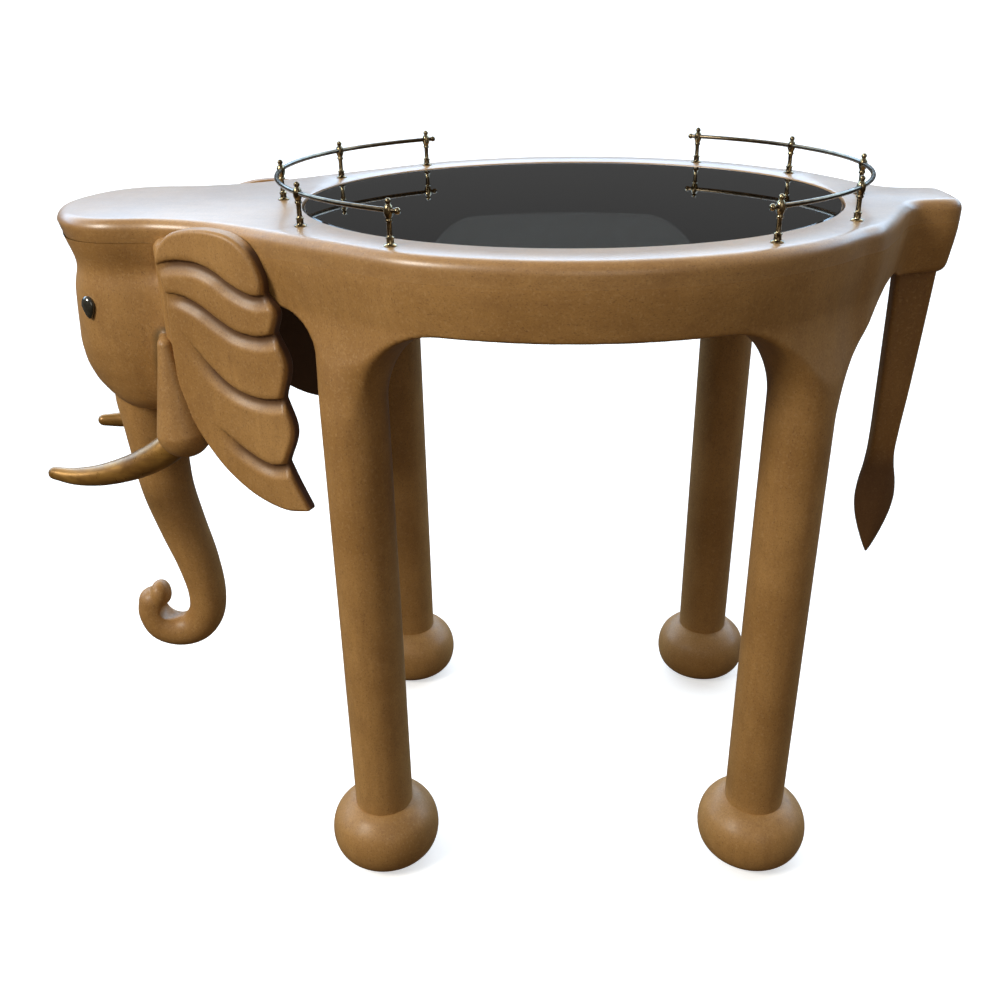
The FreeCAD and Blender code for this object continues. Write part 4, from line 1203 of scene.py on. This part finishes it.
def refinish_cad_nodes():
    """The CAD parts that stay, each with its own procedural finish."""
    raw = plain_finish(
        "raw_dowel_wood",
        ((240.0, 3.0, 0.6, (1, 1, 0.1)), (0.3, (0.42, 0.29, 0.16)), (0.7, (0.60, 0.45, 0.28))),
        bump=(0.3, 0.0004), Roughness=0.7,
    )
    steel = plain_finish(
        "screw_steel", ((400.0, 3.0), (0.3, 0.38), (0.7, 0.55)), ((500.0, 2.0), (0.3, 0.25), (0.7, 0.4)),
        Metallic=1.0,
    )
    felt = plain_finish(
        "dark_felt", ((900.0, 4.0, 0.7), (0.3, (0.020, 0.014, 0.012)), (0.7, (0.060, 0.044, 0.036))),
        bump=(0.6, 0.0005), Roughness=0.95, Sheen_Weight=0.4, Sheen_Roughness=0.5,
    )
    rubber = plain_finish(
        "clear_bumper", ((300.0, 2.0), (0.3, 0.55), (0.7, 0.68)), ((500.0, 2.0), (0.3, 0.3), (0.7, 0.45)),
        IOR=1.45, Transmission_Weight=0.5,
    )
    finishes = {"floor_pads": felt, "glass_bumpers": rubber, "ear_screws": steel, "post_studs": steel}
    for name in ("foot", "leg", "rail", "block", "tusk"):
        finishes[name + "_dowels"] = raw
    for name in ("trunk", "tail"):
        finishes[name + "_dowel"] = raw
    for name, finish in finishes.items():
        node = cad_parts[name]
        for holder in node.material_slots:
            holder.material = finish


# ---- floor, light, camera

def make_floor():
    half = 90.0
    corners = [(x * half, y * half, 0) for x, y in ((-1, -1), (1, -1), (1, 1), (-1, 1))]
    mesh = bpy.data.meshes.new("floor")
    mesh.from_pydata(corners, [], [(0, 1, 2, 3)])
    finish = plain_finish(
        "pale_floor", ((3.0, 2.0), (0.3, 0.80), (0.7, 0.82)),
        Roughness=0.95, Emission_Color=(1, 1, 1, 1), Emission_Strength=0.55,
    )
    floor = add_piece("floor", mesh, finish)
    floor.visible_diffuse = False
    floor.visible_glossy = False


def make_world():
    world = bpy.data.worlds.new("studio")
    bpy.context.scene.world = world
    world.use_nodes = True
    sky = Nodes(world.node_tree, "Generated")
    split = sky.node("ShaderNodeSeparateXYZ")
    sky.link(sky.place, split.inputs[0])

    def ramp(source, *stops):
        """A ramp over a direction's share from -1 to 1."""
        spread = fill(sky.node("ShaderNodeMapRange"), From_Min=-1.0)
        sky.link(source, spread.inputs["Value"])
        return sky.ramp(spread.outputs["Result"], *(((share + 1) / 2, colour) for share, colour in stops))

    behind = ramp(
        split.outputs["Z"], (-1.0, (0.05, 0.035, 0.02)), (0.0, (0.11, 0.11, 0.11)), (0.24, (0.13, 0.13, 0.13)),
        (0.33, (3.3, 4.8, 6.5)), (0.52, (2.7, 3.7, 4.8)), (0.70, (2.6, 2.2, 1.7)), (0.88, (0.4, 0.36, 0.32)),
        (1.0, (0.3, 0.3, 0.3)),
    )
    ahead = ramp(
        split.outputs["Z"], (-1.0, (0.06, 0.04, 0.022)), (0.0, (0.14, 0.10, 0.065)), (0.35, (0.20, 0.17, 0.14)),
        (1.0, (0.3, 0.3, 0.3)),
    )
    which = ramp(split.outputs["Y"], (-0.1, 0.0), (0.35, 1.0))
    sky.link(sky.mix(which, ahead, behind), sky.tree.nodes["Background"].inputs["Color"])


def area_light(name, place, target, size, power, colour=(1, 1, 1)):
    data = bpy.data.lights.new(name, "AREA")
    data.shape = "DISK"
    data.size = size
    data.energy = power
    data.color = colour
    lamp = put(name, data)
    lamp.location = place
    lamp.rotation_euler = (Vector(target) - Vector(place)).to_track_quat("-Z", "Y").to_euler()


def make_lights():
    area_light("key", (-2.1, -1.5, 2.3), (0.0, 0.0, 0.40), 1.1, 72, (1.0, 0.95, 0.85))
    area_light("front", (0.5, -2.6, 1.5), (0.0, 0.0, 0.5), 1.6, 8, (1.0, 0.93, 0.82))


LENS = 38.07
CAMERA_PLACE = (0.0109 + SHIFT * MM, -1.1987, 0.9766)
CAMERA_TURN = (26.2112, -0.8692, -0.7525)


def make_camera():
    """The camera, whose turn is pitch, yaw and roll in degrees."""
    data = bpy.data.cameras.new("camera")
    data.lens = LENS
    data.sensor_width = 36.0
    data.clip_end = 400.0
    camera = put("camera", data)
    pitch, yaw, roll = (math.radians(a) for a in CAMERA_TURN)
    forward = Vector((math.sin(yaw) * math.cos(pitch), math.cos(yaw) * math.cos(pitch), -math.sin(pitch)))
    level_right = Vector((math.cos(yaw), -math.sin(yaw), 0))
    level_up = level_right.cross(forward)
    right = level_right * math.cos(roll) + level_up * math.sin(roll)
    up = right.cross(forward)
    turn = Matrix((right, up, -forward)).transposed().to_4x4()
    camera.matrix_world = Matrix.Translation(Vector(CAMERA_PLACE)) @ turn
    bpy.context.scene.camera = camera


make_camera()
make_world()
make_lights()
make_floor()
carve_body()
carve_head()
carve_trunk()
make_boards()
make_ears()
make_tusks()
make_eyes()
make_feet()
make_tail()
make_glass()
make_gallery()
refinish_cad_nodes()
bpy.context.scene.view_settings.view_transform = "Standard"
